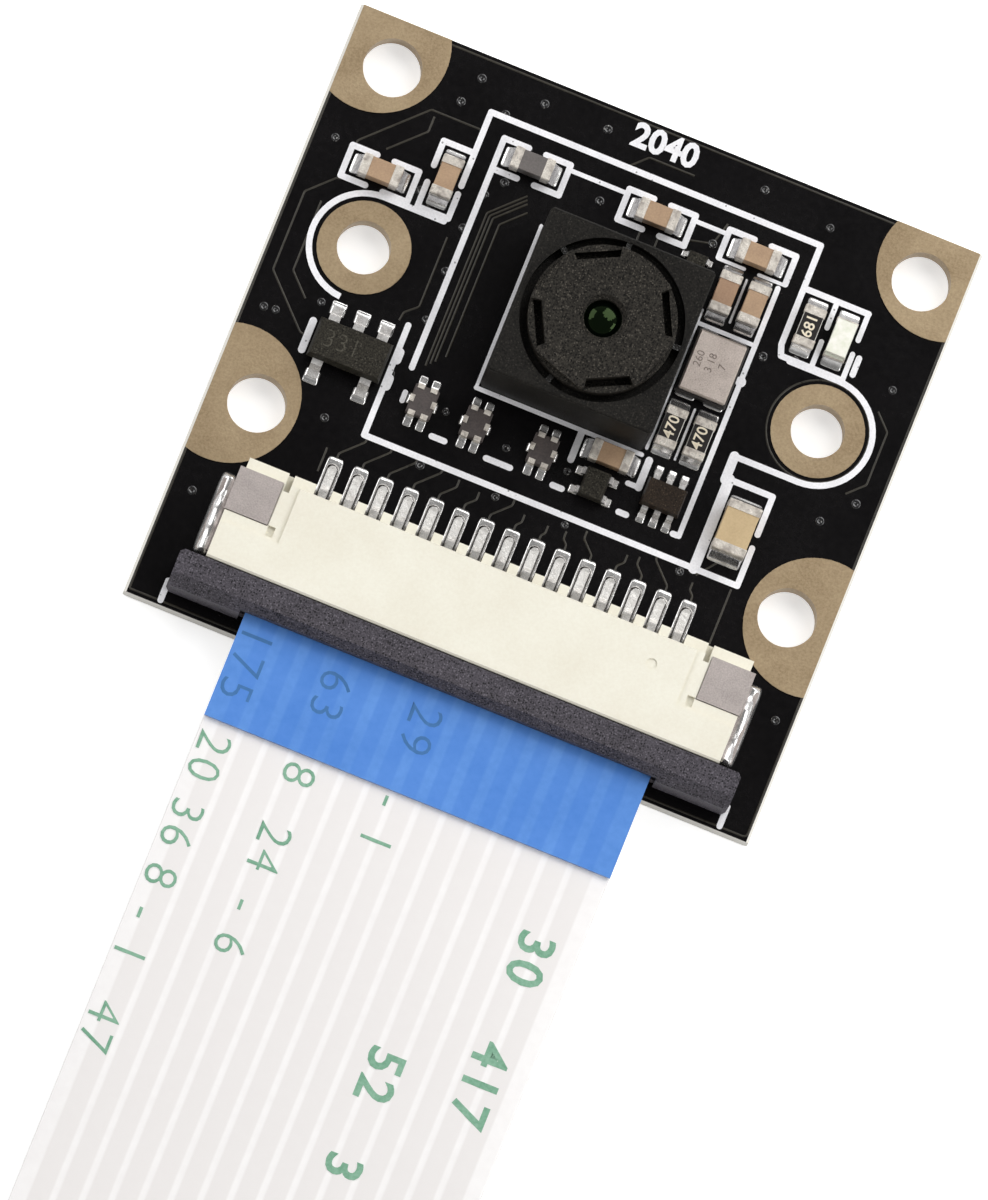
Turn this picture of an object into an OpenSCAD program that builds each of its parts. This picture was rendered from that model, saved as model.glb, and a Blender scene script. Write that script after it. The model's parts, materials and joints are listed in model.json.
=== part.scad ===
// Camera board: a small circuit board with a fixed-focus lens over an image
// sensor, the chips that serve it, and a slider-lock connector that holds a
// 15-way flat ribbon cable.
// Origin: centre of the board's underside. +X runs along the long edge, +Y
// points away from the cable and +Z is up. All sizes are in millimetres.

/* [Board] */
// Width of the board along X
board_w = 24.7; // [24.4:0.1:30]
// Length of the board along Y
board_l = 23.6; // [23.4:0.1:30]
// Thickness of the laminate
board_t = 1; // [0.6:0.1:2]
// Bevel left by the scoring cutter on the two side edges
edge_bevel = 0.1; // [0.05:0.01:0.3]

/* [Mounting holes] */
// Distance from the corner holes' centres to the board's side edges
hole_inset_x = 1.85; // [1.5:0.05:2.2]
// Distance between the corner holes along Y
hole_span_y = 13.5; // [12.5:0.1:14]
// Distance from the far holes' centres to the board's far edge
hole_inset_y = 1.8; // [1.4:0.05:2.2]
// Distance of the far row of holes from the origin of the chips', lens's and ink's places
far_row_y = 10; // [9.95:0.05:10.1]
// Distance between the two inner holes
inner_span = 18; // [17.6:0.1:18.6]
// Distance from the far holes to the inner ones along Y
inner_drop = 6.63; // [6.4:0.01:6.8]
// X of the centre of both hole patterns
hole_cx = 0.1; // [-0.2:0.05:0.2]
// Finished diameter of the corner holes
corner_hole_d = 2.2; // [1.8:0.1:2.6]
// Finished diameter of the inner holes
inner_hole_d = 2; // [1.6:0.1:2.4]
// Thickness of the plating on the lands and in the holes
plating_t = 0.05; // [0.03:0.01:0.1]
// Radius of the round lands that run off the board's edges
edge_land_r = 2.62; // [2:0.02:2.8]
// How far the far lands' centres lie outside their holes along X
far_land_out = 0.75; // [0:0.05:1]
// How far the far lands' centres lie outside their holes along Y
far_land_up = 0.7; // [0:0.05:1]
// How far the near lands' centres lie outside their holes along X
near_land_out = 1.05; // [0:0.05:1.4]
// Outer diameter of the ring lands round the inner holes
ring_land_d = 3.5; // [3:0.1:3.7]

/* [Printed outlines] */
// Thickness of the printed ink
ink_t = 0.03; // [0.02:0.01:0.05]
// Width of the printed lines
ink_w = 0.23; // [0.12:0.01:0.28]
// Width of the fine printed lines
fine_ink_w = 0.13; // [0.08:0.01:0.16]
// Length of the printed frame round a small chip
ink_frame_l = 2.64; // [2.5:0.02:2.7]
// Width of the printed frame round a small chip
ink_frame_w = 1.22; // [1.2:0.01:1.26]
// Opening in the middle of each long side of a frame
ink_gap = 0.45; // [0.2:0.05:0.8]
// Radius of the printed arcs beside the ring lands
ink_arc_r = 2.03; // [2:0.01:2.1]
// Angle at which the left arc ends
ink_arc_end = 266; // [255:1:270]
// Y of the long line behind the lens
far_line_y = 9.85; // [9.7:0.05:10]
// Y of the long line before the connector
near_line_y = -3.1; // [-3.2:0.05:-3]
// Y of the dashes between the chips before the lens
dash_y = -2.2; // [-2.3:0.05:-2.1]
// Ends of those dashes along X
dashes = [[-4, -3.5], [-1.85, -0.9], [0.78, 1.15], [3.4, 3.7], [5.55, 5.7]]; // [-5:0.05:6]
// Reach of the large capacitor's frame to the left, right and far side of its middle
bulk_frame = [0.9, 0.82, 1.77]; // [0.7:0.01:2]
// Reach of the regulator's marks to each side and to the far side of its middle
regulator_marks = [1.65, 1.77]; // [1.5:0.01:2]
// X of the fence beside the oscillator
fence_x = 5.79; // [5.75:0.01:5.85]
// Where the marks at the slider's ends start and stop, before the housing
end_mark = [1.02, 1.79]; // [0.9:0.01:1.9]

/* [Soldering] */
// Thickness of the copper pads
pad_t = 0.04; // [0.03:0.01:0.06]
// How far a chip's pads and solder reach past its ends
fillet_l = 0.34; // [0.2:0.02:0.36]
// Height that the solder climbs, as a share of the chip's height
fillet_rise = 0.6; // [0.3:0.05:0.9]

/* [Small chips] */
// Length of a small chip over its end caps
chip_l = 1.56; // [1.4:0.02:1.6]
// Width of a small chip
chip_w = 0.82; // [0.7:0.02:0.84]
// Height of a small capacitor
capacitor_h = 0.8; // [0.5:0.05:0.9]
// Height of a resistor
resistor_h = 0.42; // [0.3:0.02:0.6]
// Height of the lamp
lamp_h = 0.62; // [0.5:0.02:0.8]
// Length of each end cap along the chip
end_cap_l = 0.33; // [0.2:0.01:0.4]
// Thickness of the end cap's metal
end_cap_t = 0.03; // [0.02:0.01:0.05]
// Length, width and height of the large capacitor
bulk_size = [1.95, 1.3, 1.2]; // [0.5:0.05:3]

/* [Chip places] */
// Small capacitors: x, y and turn of each
capacitor_at = [
    [-9.38, 6.16, 0], [-7.04, 6.87, 90], [0.67, 8.52, 0], [4.66, 8.52, 0],
    [4.04, 6.76, 90], [5.18, 6.76, 90], [2.38, -0.46, 0]
]; // [-12:0.01:12]
// Ferrite bead: x, y and turn
bead_at = [-4.3, 8.52, 0]; // [-12:0.01:12]
// Large capacitor: x, y and turn
bulk_at = [7.64, -1.3, 90]; // [-12:0.01:12]
// Resistors: x, y and turn of each
resistor_at = [[4.04, 1.4, 90], [5.16, 1.4, 90], [7.38, 6.82, 90]]; // [-12:0.01:12]
// Indicator lamp: x, y and turn
lamp_at = [8.63, 6.82, 90]; // [-12:0.01:12]
// Signal filters: x and y of each
filter_at = [[-4.78, -1.22], [-2.67, -1.22], [-0.02, -1.22]]; // [-12:0.01:12]
// Oscillator: x and y
oscillator_at = [4.62, 4]; // [-12:0.01:12]
// Voltage regulator: x and y
regulator_at = [-7.97, -0.47]; // [-12:0.01:12]
// Dual transistor: x and y
transistor_at = [4.73, -1.16]; // [-12:0.01:12]
// Level shifter: x and y
shifter_at = [2.2, -1.68]; // [-12:0.01:12]
// Clamp behind the lens: x and y
clamp_at = [2.62, 7.42]; // [-12:0.01:12]

/* [Chip packages] */
// Oscillator base: length along X, length along Y, height
oscillator_size = [2, 2.5, 0.45]; // [0.3:0.05:3]
// Height of the oscillator's metal lid above its base
oscillator_lid_h = 0.3; // [0.2:0.05:0.5]
// Rim of the base left bare round the lid
oscillator_rim = 0.08; // [0.04:0.01:0.15]
// Regulator body: length along X, length along Y, height
regulator_size = [2.86, 1.55, 1.05]; // [0.3:0.05:3.2]
// Regulator lead: pitch, width, reach past the body and thickness
regulator_lead = [0.95, 0.42, 0.62, 0.15]; // [0.1:0.01:1]
// Transistor body: length along X, length along Y, height
transistor_size = [1.52, 1.08, 0.85]; // [0.3:0.05:2]
// Transistor lead: pitch, width, reach past the body and thickness
transistor_lead = [0.5, 0.24, 0.42, 0.12]; // [0.1:0.01:1]
// Shifter body: length along X, length along Y, height
shifter_size = [0.94, 1.14, 0.8]; // [0.3:0.05:2]
// Shifter lead: pitch, width, reach past the body and thickness
shifter_lead = [0.75, 0.26, 0.32, 0.12]; // [0.1:0.01:1]
// Clamp package: length along X, length along Y, height
clamp_size = [0.74, 0.8, 0.5]; // [0.3:0.02:1]
// Clamp leads: pitch, width, reach, thickness
clamp_lead = [0.44, 0.2, 0.2, 0.1]; // [0.1:0.01:1]
// Filter body: length along X, length along Y, height
filter_size = [0.95, 1.14, 0.5]; // [0.3:0.05:1.2]
// Distance between a filter's two line terminals
filter_pitch = 0.5; // [0.4:0.02:0.6]
// Width of a filter's terminals
filter_terminal_w = 0.26; // [0.15:0.01:0.34]

/* [Lens] */
// X of the lens axis
lens_x = 0.16; // [-0.5:0.01:0.5]
// Y of the lens axis
lens_y = 3.46; // [3.4:0.01:3.55]
// Side of the square lens holder
holder_w = 6.5; // [6.3:0.05:6.6]
// Height of the holder above the board
holder_h = 4.2; // [3.8:0.05:5]
// Wall of the holder round the sensor
holder_wall = 0.6; // [0.4:0.05:0.8]
// Diameter of the well round the barrel's head
well_d = 6.1; // [5.9:0.05:6.2]
// Depth of that well
well_depth = 0.6; // [0.4:0.05:0.8]
// Diameter of the barrel's body
barrel_d = 5.2; // [4.8:0.05:5.3]
// Diameter of the barrel's head
barrel_head_d = 5.5; // [5.35:0.05:5.6]
// Height of the barrel's face above the board
barrel_top = 4.75; // [4.6:0.05:5.5]
// Height of the barrel's lower end above the board
barrel_foot = 1.75; // [1.7:0.05:1.9]
// Number of tool notches in the head, with a flat between each two
notch_n = 4; // [2:1:6]
// Angle of the first notch
notch_angle = 26; // [0:1:45]
// Width of each notch at its inner wall
notch_w = 1.6; // [1.2:0.05:1.7]
// How fast a notch widens outwards on each side
notch_flare = 0.3; // [0:0.05:0.5]
// Distance from the lens axis to the notches' inner walls
notch_r = 2.2; // [2.15:0.01:2.25]
// Length of each notch from its inner to its outer wall
notch_l = 0.3; // [0.2:0.01:0.32]
// Depth of the notches below the face
notch_depth = 0.85; // [0.4:0.05:0.9]
// Distance from the lens axis to the flats between the notches
head_flat = 2.56; // [2.5:0.01:2.7]
// Depth of the flats, and of the rim outside each notch, below the face
flat_depth = 0.28; // [0.2:0.02:0.35]
// Diameter of the opening that light enters by
aperture_d = 1.42; // [1:0.02:1.6]
// Width of the bevel round that opening
aperture_bevel = 0.16; // [0.08:0.02:0.3]
// Clearance between the barrel and the holder's bore
barrel_gap = 0.03; // [0.02:0.01:0.06]
// Clearance round each lens in the barrel
lens_gap = 0.02; // [0.01:0.01:0.04]
// Thickness of the barrel's face over the front lens
face_t = 0.42; // [0.3:0.02:0.5]
// Radii of the front, middle and rear lens
lens_r = [1.3, 1.62, 1.95]; // [1:0.01:2.1]
// Rim thickness of the front, middle and rear lens
lens_t = [0.55, 0.5, 0.5]; // [0.4:0.05:0.6]
// Thickness of the rings between the lenses
spacer_t = 0.16; // [0.12:0.01:0.2]
// Width of the rim by which a lens is held
spacer_rim = 0.33; // [0.25:0.01:0.4]
// Height of the ring that holds the stack in
retainer_h = 0.3; // [0.2:0.05:0.4]
// Angles of the glue spots that lock the barrel
glue_at = [2, 92, 140, 250]; // [0:1:360]
// Width of a glue spot in degrees
glue_span = 4; // [3:1:12]

/* [Sensor] */
// Sensor package: length along X, length along Y, height
sensor_size = [4.7, 4.5, 0.5]; // [0.3:0.1:5]
// Thickness of the glass over the sensor
sensor_glass_t = 0.3; // [0.2:0.05:0.4]
// Side of the square infrared filter
ir_filter_w = 4.8; // [4.2:0.1:5]
// Thickness of the infrared filter
ir_filter_t = 0.3; // [0.2:0.05:0.35]
// Height of the filter's seat above the board
ir_seat_h = 1.25; // [1.2:0.05:1.3]

/* [Connector] */
// Number of contacts
contact_n = 15; // [8:1:15]
// Distance between neighbouring contacts
contact_pitch = 1; // [0.9:0.02:1]
// X of the connector's centre
conn_x = 0.08; // [-0.2:0.02:0.2]
// Distance from the board's near edge to the housing's front face
conn_in = 1.97; // [1.8:0.01:2.1]
// Distance from an outer contact to the end of the housing
housing_end = 3.12; // [3.05:0.01:3.3]
// Depth of the housing from front to back, without its rear comb
housing_l = 3.6; // [3.6:0.05:3.8]
// Height of the housing above the board
housing_h = 2.4; // [2.4:0.05:3]
// Gap between the housing's underside and the board
housing_lift = 0.06; // [0.06:0.01:0.12]
// Depth of the comb that guides the tails behind the housing
comb_l = 0.55; // [0.3:0.05:0.6]
// Height of that comb
comb_h = 1.3; // [1.2:0.05:1.5]
// Width of the comb's openings round the tails
comb_slot_w = 0.62; // [0.5:0.01:0.7]
// Height of the cable slot's floor above the board
slot_floor = 0.86; // [0.8:0.01:0.88]
// Height of the cable slot's ceiling above the board
slot_ceiling = 1.95; // [1.93:0.01:2.05]
// Depth of the cable slot
slot_l = 2.75; // [2.7:0.05:2.9]
// X and Y of the moulding's round gate mark, from the middle of the front face
gate_at = [6.47, 2.46]; // [-9:0.01:9]
// Diameter of the gate mark
gate_d = 0.42; // [0.3:0.02:0.6]
// Depth of the gate mark
gate_depth = 0.06; // [0.03:0.01:0.1]
// Thickness of the contact metal
contact_t = 0.3; // [0.2:0.02:0.34]
// Clearance on each side of a contact in its slot
contact_gap = 0.05; // [0.03:0.01:0.08]
// Length of a contact's tail behind the comb
tail_l = 1.05; // [0.8:0.05:1.2]
// Height of a tail's top above the board
tail_h = 0.24; // [0.2:0.01:0.26]
// Width of a contact's solder pad
tail_pad_w = 0.65; // [0.5:0.05:0.75]
// How far a contact's pad reaches past its tail
tail_pad_past = 0.37; // [0.3:0.01:0.5]
// Thickness of the hold-down clips' sheet metal
clip_t = 0.2; // [0.15:0.01:0.22]
// Width of a clip's top plate along X
clip_plate_w = 1.5; // [1.3:0.05:1.6]
// Length of a clip's top plate along Y
clip_plate_l = 1.7; // [1.4:0.05:1.8]
// How deep the clips are sunk into the ends of the housing
clip_in = 0.16; // [0.1:0.01:0.18]
// How far a clip's foot stands out of the housing's side
clip_foot = 0.48; // [0.35:0.01:0.55]

/* [Slider] */
// How far the slider bar stands out past each end of the housing
slider_out = 0.93; // [0.7:0.01:1]
// Depth of the slider bar from back to front
slider_l = 1.36; // [1.3:0.02:1.5]
// Height of the slider's top above the board
slider_h = 2.36; // [2.2:0.02:2.4]
// Depth of the slope along the slider's front edge
slider_slope = 0.44; // [0.2:0.02:0.5]
// Cut at the four upright corners of the slider
slider_corner = 0.14; // [0.08:0.01:0.2]
// Distance that the slider pulls out to free the cable
slider_travel = 1.2; // [0.8:0.05:1.2]
// Running clearance between the slider and the housing
slider_gap = 0.05; // [0.04:0.01:0.06]
// Thickness of the slider's wedge tongue
tongue_t = 0.42; // [0.36:0.01:0.44]
// Length of the slider's wedge tongue inside the slot
tongue_l = 2.4; // [2:0.05:2.5]
// Width of each of the slider's two guide arms
arm_w = 0.7; // [0.5:0.05:0.75]
// Height of each guide arm
arm_h = 0.68; // [0.5:0.02:0.7]
// How far the stop nub stands out of each arm
nub_out = 0.28; // [0.2:0.02:0.3]
// Length of the stop nub along its arm
nub_l = 0.5; // [0.3:0.05:0.6]

/* [Ribbon cable] */
// Film outside the middle of an outer conductor
ribbon_margin = 1; // [0.6:0.05:1.05]
// Thickness of the ribbon
ribbon_t = 0.13; // [0.1:0.01:0.15]
// Whole length of the ribbon
ribbon_l = 150; // [110:5:200]
// How far the ribbon goes into the connector
ribbon_in = 2.6; // [2.4:0.05:2.7]
// Height of the ribbon's underside above the board in the connector
ribbon_h = 1; // [0.99:0.01:1.02]
// Length of the stiffener on each end of the ribbon
stiffener_l = 7.9; // [6:0.1:10]
// Thickness of a stiffener
stiffener_t = 0.2; // [0.15:0.01:0.22]
// Width of each bare conductor at the ribbon's ends
finger_w = 0.7; // [0.4:0.05:0.8]
// Length of the bare conductors
finger_l = 4; // [3:0.1:5]
// Thickness of the bare conductors
finger_t = 0.03; // [0.02:0.01:0.04]

/* [Hidden] */
// Shares of the exit height that the ribbon keeps at each distance from the
// end of its near stiffener, as it sags to the table
ribbon_sag = [
    [0, 1], [3, 0.99], [6, 0.95], [9, 0.87], [12, 0.76], [15, 0.62], [18, 0.48],
    [21, 0.34], [24, 0.22], [27, 0.12], [30, 0.05], [33, 0.01], [36, 0]
];

overlap = 1;                                  // how far a cutter passes its part
fine = 96;                                    // sides of a large round form
hole_span_x = board_w - 2 * hole_inset_x;
hole_top_y = board_l / 2 - hole_inset_y;
hole_low_y = hole_top_y - hole_span_y;
inner_y = hole_top_y - inner_drop;
layout_y = hole_top_y - far_row_y;            // origin of the places of chips, lens and ink
conn_front_y = conn_in - board_l / 2;
contact_span = (contact_n - 1) * contact_pitch;
housing_w = contact_span + 2 * housing_end;
housing_half = housing_w / 2;
slider_w = housing_w + 2 * slider_out;
ribbon_w = contact_span + 2 * ribbon_margin;
cable_slot_w = ribbon_w + 0.3;
comb_back = housing_l + comb_l;
contact_root = housing_l - 0.5;               // front of the block that holds a contact
tail_end = comb_back + tail_l;
clip_wall = housing_half - clip_in;           // inner face of a clip's side wall
clip_low = 0.45;                              // front end of a clip's foot
clip_foot_back = housing_l - 0.3;
clip_top = housing_h - 0.05;
arm_x = cable_slot_w / 2 + 0.35 + slider_gap; // inner side of a guide arm
arm_low = slot_floor + 0.06;                  // underside of a guide arm
arm_l = tongue_l + 0.2;
well_floor = holder_h - well_depth;
ribbon_z = board_t + ribbon_h;                // ribbon's underside in the connector
ribbon_rest = finger_t;                       // ribbon's underside on the table
stiffener_end_y = conn_front_y + ribbon_in - stiffener_l;
ribbon_end_y = conn_front_y + ribbon_in - ribbon_l;

// ---- shared forms ----

// A box given by two opposite corners
module block(low, high) {
    translate(low) cube(high - low);
}

// Extrudes a profile drawn in Y and Z along X, centred on x = 0
module along_x(width, profile) {
    rotate([90, 0, 90]) linear_extrude(width, center = true) polygon(profile);
}

// Sets its children down on the board, from the layout's own origin
module on_board() {
    translate([0, layout_y, board_t]) children();
}

// Sets its children down at a chip's place: x, y and turn
module at_chip(place) {
    on_board() translate([place[0], place[1], 0])
        rotate(len(place) > 2 ? place[2] : 0)
            children();
}

// Puts its children in the connector's frame: y = 0 at the housing's front
module at_connector() {
    translate([conn_x, conn_front_y, board_t]) children();
}

// Draws its children on the right and, mirrored, on the left
module both_sides() {
    children();
    mirror([1, 0, 0]) children();
}

// Points on an arc
function arc(r, from, to, steps) =
    [for (i = [0 : steps]) let (a = from + (to - from) * i / steps) r * [cos(a), sin(a)]];

// The list in reverse order
function reversed(list) = [for (i = [len(list) - 1 : -1 : 0]) list[i]];

// A flat piece of a ring between two angles
module ring_sector(r_in, r_out, from, to, h) {
    intersection() {
        difference() {
            cylinder(h = h, r = r_out, $fn = fine);
            translate([0, 0, -overlap]) cylinder(h = h + 2 * overlap, r = r_in, $fn = fine);
        }
        linear_extrude(h) polygon(concat([[0, 0]], arc(1.5 * r_out, from, to, 6)));
    }
}

// Outline of a rectangle with its corners cut off
function cut_rectangle(a, b, c) = [
    [-a / 2 + c, -b / 2], [a / 2 - c, -b / 2], [a / 2, -b / 2 + c], [a / 2, b / 2 - c],
    [a / 2 - c, b / 2], [-a / 2 + c, b / 2], [-a / 2, b / 2 - c], [-a / 2, -b / 2 + c]
];

// A block with all its edges bevelled, standing on z = 0
module bevelled_block(size, c) {
    translate([0, 0, size[2] / 2]) intersection() {
        linear_extrude(size[2], center = true) polygon(cut_rectangle(size[0], size[1], c));
        along_x(size[0], cut_rectangle(size[1], size[2], c));
        rotate([90, 0, 0])
            linear_extrude(size[1], center = true) polygon(cut_rectangle(size[0], size[2], c));
    }
}

// Side view of a moulded package: the walls lean in from the parting line
function moulded_outline(w, h, lean) = [
    [-w / 2 + lean, 0], [w / 2 - lean, 0], [w / 2, h / 2],
    [w / 2 - lean, h], [-w / 2 + lean, h], [-w / 2, h / 2]
];

// A moulded package standing on z = 0
module moulded_block(size, lean) {
    intersection() {
        along_x(size[0], moulded_outline(size[1], size[2], lean));
        rotate([90, 0, 0]) linear_extrude(size[1], center = true)
            polygon(moulded_outline(size[0], size[2], lean));
    }
}

// ---- board ----

// Places of the four corner holes and the two inner ones
corner_holes = [for (side = [-1, 1], y = [hole_low_y, hole_top_y])
    [hole_cx + side * hole_span_x / 2, y]];
inner_holes = [for (side = [-1, 1]) [hole_cx + side * inner_span / 2, inner_y]];

// Outline of the board seen from the cable side, with its scored edges
module board_blank() {
    rotate([90, 0, 0]) linear_extrude(board_l, center = true) polygon([
        [-board_w / 2 + edge_bevel, 0], [board_w / 2 - edge_bevel, 0],
        [board_w / 2, edge_bevel], [board_w / 2, board_t - edge_bevel],
        [board_w / 2 - edge_bevel, board_t], [-board_w / 2 + edge_bevel, board_t],
        [-board_w / 2, board_t - edge_bevel], [-board_w / 2, edge_bevel]
    ]);
}

// Bores through the board, wider than the finished holes by a given wall
module hole_set(wall) {
    for (p = corner_holes)
        translate([p[0], p[1], -overlap])
            cylinder(h = board_t + 2 * overlap, d = corner_hole_d + 2 * wall, $fn = fine);
    for (p = inner_holes)
        translate([p[0], p[1], -overlap])
            cylinder(h = board_t + 2 * overlap, d = inner_hole_d + 2 * wall, $fn = fine);
}

module circuit_board() {
    color([0.05, 0.05, 0.06]) difference() {
        board_blank();
        hole_set(plating_t);
    }
}

// A disc of plating on the board's top, cut off at the board's edges
module land_disc(x, y, d) {
    intersection() {
        translate([x, y, board_t]) cylinder(h = plating_t, d = d, $fn = fine);
        translate([0, 0, board_t]) linear_extrude(plating_t)
            square([board_w - 2 * edge_bevel, board_l], center = true);
    }
}

// The plated wall of one hole
module hole_barrel(p, d) {
    translate([p[0], p[1], 0]) cylinder(h = board_t, d = d + 2 * plating_t, $fn = fine);
}

module mounting_lands() {
    color([0.72, 0.64, 0.5]) difference() {
        union() {
            for (p = corner_holes) {
                side = sign(p[0]);
                far = p[1] > 0;
                land_disc(p[0] + side * (far ? far_land_out : near_land_out),
                          p[1] + (far ? far_land_up : 0), 2 * edge_land_r);
                hole_barrel(p, corner_hole_d);
            }
            for (p = inner_holes) {
                land_disc(p[0], p[1], ring_land_d);
                hole_barrel(p, inner_hole_d);
            }
        }
        hole_set(0);
    }
}

// ---- printed outlines ----

// A printed line between two points, with round ends that fill its corners
module ink(a, b, w = ink_w) {
    d = b - a;
    translate([a[0], a[1], 0]) rotate(atan2(d[1], d[0])) {
        translate([0, -w / 2, 0]) cube([norm(d), w, ink_t]);
        for (x = [0, norm(d)]) translate([x, 0, 0]) cylinder(h = ink_t, d = w, $fn = 24);
    }
}

// A printed frame round a small chip, open in the middle of its long sides;
// its near long side can be a thinner line
module ink_frame(place, near_w = ink_w) {
    l = ink_frame_l / 2;
    w = ink_frame_w / 2;
    near = w - (ink_w - near_w) / 2;
    translate([place[0], place[1], 0]) rotate(place[2]) for (s = [-1, 1]) {
        ink([s * l, -near + (ink_w - near_w) / 2], [s * l, w]);
        ink([s * l, w], [s * (ink_gap + ink_w) / 2, w]);
        ink([s * l, -near], [s * (ink_gap + near_w) / 2, -near], near_w);
    }
}

// Lines that tie the frames together on the lens's far and left sides
module ink_far_side() {
    top = far_line_y;
    left = bead_at[0] - ink_frame_l / 2;
    tie = bead_at[1] + 0.42;
    cap_left = capacitor_at[1][0] + ink_frame_w / 2;
    right = resistor_at[2][0] - ink_frame_w / 2 - 0.1;
    ink([cap_left, top], [right, top]);
    ink([cap_left, top], [cap_left, capacitor_at[1][1]]);
    ink([right, top], [right, resistor_at[2][1] - 0.87]);
    ink([left, bead_at[1] - ink_frame_w / 2], [left, filter_at[0][1] + 1.12]);
    ink([bead_at[0] + ink_frame_l / 2, tie],
        [capacitor_at[2][0] - ink_frame_l / 2, tie], 0.17);
    ink([capacitor_at[2][0] + ink_frame_l / 2, tie],
        [capacitor_at[3][0] - ink_frame_l / 2, tie], 0.17);
}

// Fence round the oscillator, the two resistors and the transistor
module ink_fence() {
    left = lens_x + holder_w / 2 + 0.08;
    middle = (capacitor_at[4][0] + capacitor_at[5][0]) / 2;
    cross_y = oscillator_at[1] + 1.45;
    capacitor_y = capacitor_at[4][1];
    resistor_y = resistor_at[0][1];
    ink([left, cross_y + 0.5], [left, resistor_y - 1], fine_ink_w);
    ink([fence_x, capacitor_y + 1], [fence_x, dash_y], 0.2);
    ink([left, cross_y], [fence_x, cross_y], 0.16);
    ink([middle, resistor_y + 1], [middle, resistor_y - 1], 0.09);
    ink([middle, capacitor_y + 0.85], [middle, capacitor_y - 0.85], 0.09);
    translate([fence_x, oscillator_at[1], 0]) cylinder(h = ink_t, r = 0.2, $fn = 24);
}

// Frames of the third resistor and the lamp, which share their lines
module ink_lamp_frames() {
    left = resistor_at[2][0] - ink_frame_w / 2 - 0.1;
    middle = (resistor_at[2][0] + lamp_at[0]) / 2;
    right = lamp_at[0] + ink_frame_w / 2;
    top = lamp_at[1] + ink_frame_l / 2;
    low = lamp_at[1] - ink_frame_l / 2 - 0.03;
    ink([left, top], [right, top]);
    ink([left + 0.14, low], [right, low]);
    ink([left, low + 0.4], [left + 0.14, low]);
    for (x = [middle, right]) {
        ink([x, top], [x, top - 1.05], 0.2);
        ink([x, low], [x, low + 1.05], 0.2);
    }
    ink([right + 0.28, low + 0.35], [right + 0.28, low + 1]);
}

// Arcs beside the two ring lands, with the lines that leave their ends
module ink_arcs() {
    ring_y = inner_y - layout_y;
    low = ring_y - ink_arc_r;
    high = ring_y + ink_arc_r;
    r = [ink_arc_r - ink_w / 2, ink_arc_r + ink_w / 2];
    translate([inner_holes[0][0], ring_y, 0])
        ring_sector(r[0], r[1], 90, ink_arc_end, ink_t);
    ink([inner_holes[0][0], high], [capacitor_at[1][0] + 0.5, high]);
    translate([inner_holes[1][0], ring_y, 0]) ring_sector(r[0], r[1], -90, 90, ink_t);
    corner_x = bulk_at[0] - 1.04;
    ink([inner_holes[1][0], high], [resistor_at[2][0] - 0.2, high]);
    ink([inner_holes[1][0], low], [corner_x, low]);
    ink([corner_x, low], [corner_x, bulk_at[1] + 1.7], 0.36);
}

// Frame of the large capacitor
module ink_bulk_frame() {
    left = bulk_at[0] - bulk_frame[0];
    right = bulk_at[0] + bulk_frame[1];
    top = bulk_at[1] + bulk_frame[2];
    ink([left, top], [left, near_line_y], 0.4);
    ink([left, top], [right, top]);
    ink([right, top], [right, bulk_at[1] + 0.25]);
    ink([right, bulk_at[1] - 0.3], [right, near_line_y]);
}

// Long line before the connector, the regulator's marks and the dashes
module ink_near_side() {
    right = regulator_at[0] + regulator_marks[0];
    left = regulator_at[0] - regulator_marks[0];
    filter_x = filter_at[0][0] - 0.72;
    ink([right, near_line_y], [bulk_at[0] + bulk_frame[1], near_line_y]);
    ink([right, regulator_at[1] + regulator_marks[1]], [right, near_line_y]);
    for (y = [regulator_at[1] + 0.57, regulator_at[1] - 0.48])
        ink([right + 0.08, y + 0.15], [right + 0.08, y - 0.15], 0.34);
    ink([left, regulator_at[1] + 0.6], [left, regulator_at[1] - 0.55], 0.28);
    for (d = dashes) ink([d[0], dash_y], [d[1], dash_y]);
    ink([filter_x, filter_at[0][1] + 0.17], [filter_x, filter_at[0][1] - 0.16], 0.2);
}

// Brackets beside the capacitor in front of the lens
module ink_front_brackets() {
    c = capacitor_at[6];
    left = c[0] - ink_frame_l / 2;
    right = c[0] + ink_frame_l / 2 + 0.05;
    ink([left, c[1] + 0.46], [left, c[1] - 0.6], 0.26);
    ink([right, c[1] + 0.46], [right, c[1] - 0.62], 0.28);
    ink([right, c[1] - 0.62], [right - 0.42, c[1] - 0.62], 0.2);
}

// Corner lines of the lens holder and the marks by the connector's ends
module ink_holder_marks() {
    left = lens_x - holder_w / 2 - fine_ink_w / 2;
    low = lens_y - holder_w / 2 - 0.11;
    ink([left, lens_y + holder_w / 2 - 0.1], [left, low], fine_ink_w);
    ink([left, low], [lens_x + holder_w / 2, low], 0.17);
    front = conn_front_y - layout_y;
    for (x = [conn_x - slider_w / 2, conn_x + slider_w / 2])
        ink([x, front - end_mark[0]], [x, front - end_mark[1]]);
}

module printed_outlines() {
    color([0.94, 0.94, 0.92]) on_board() {
        for (place = [capacitor_at[0], capacitor_at[1], capacitor_at[2], bead_at])
            ink_frame(place);
        ink_frame(capacitor_at[3], fine_ink_w);
        ink_far_side();
        ink_fence();
        ink_lamp_frames();
        ink_arcs();
        ink_bulk_frame();
        ink_near_side();
        ink_front_brackets();
        ink_holder_marks();
    }
}

// ---- soldering ----

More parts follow.
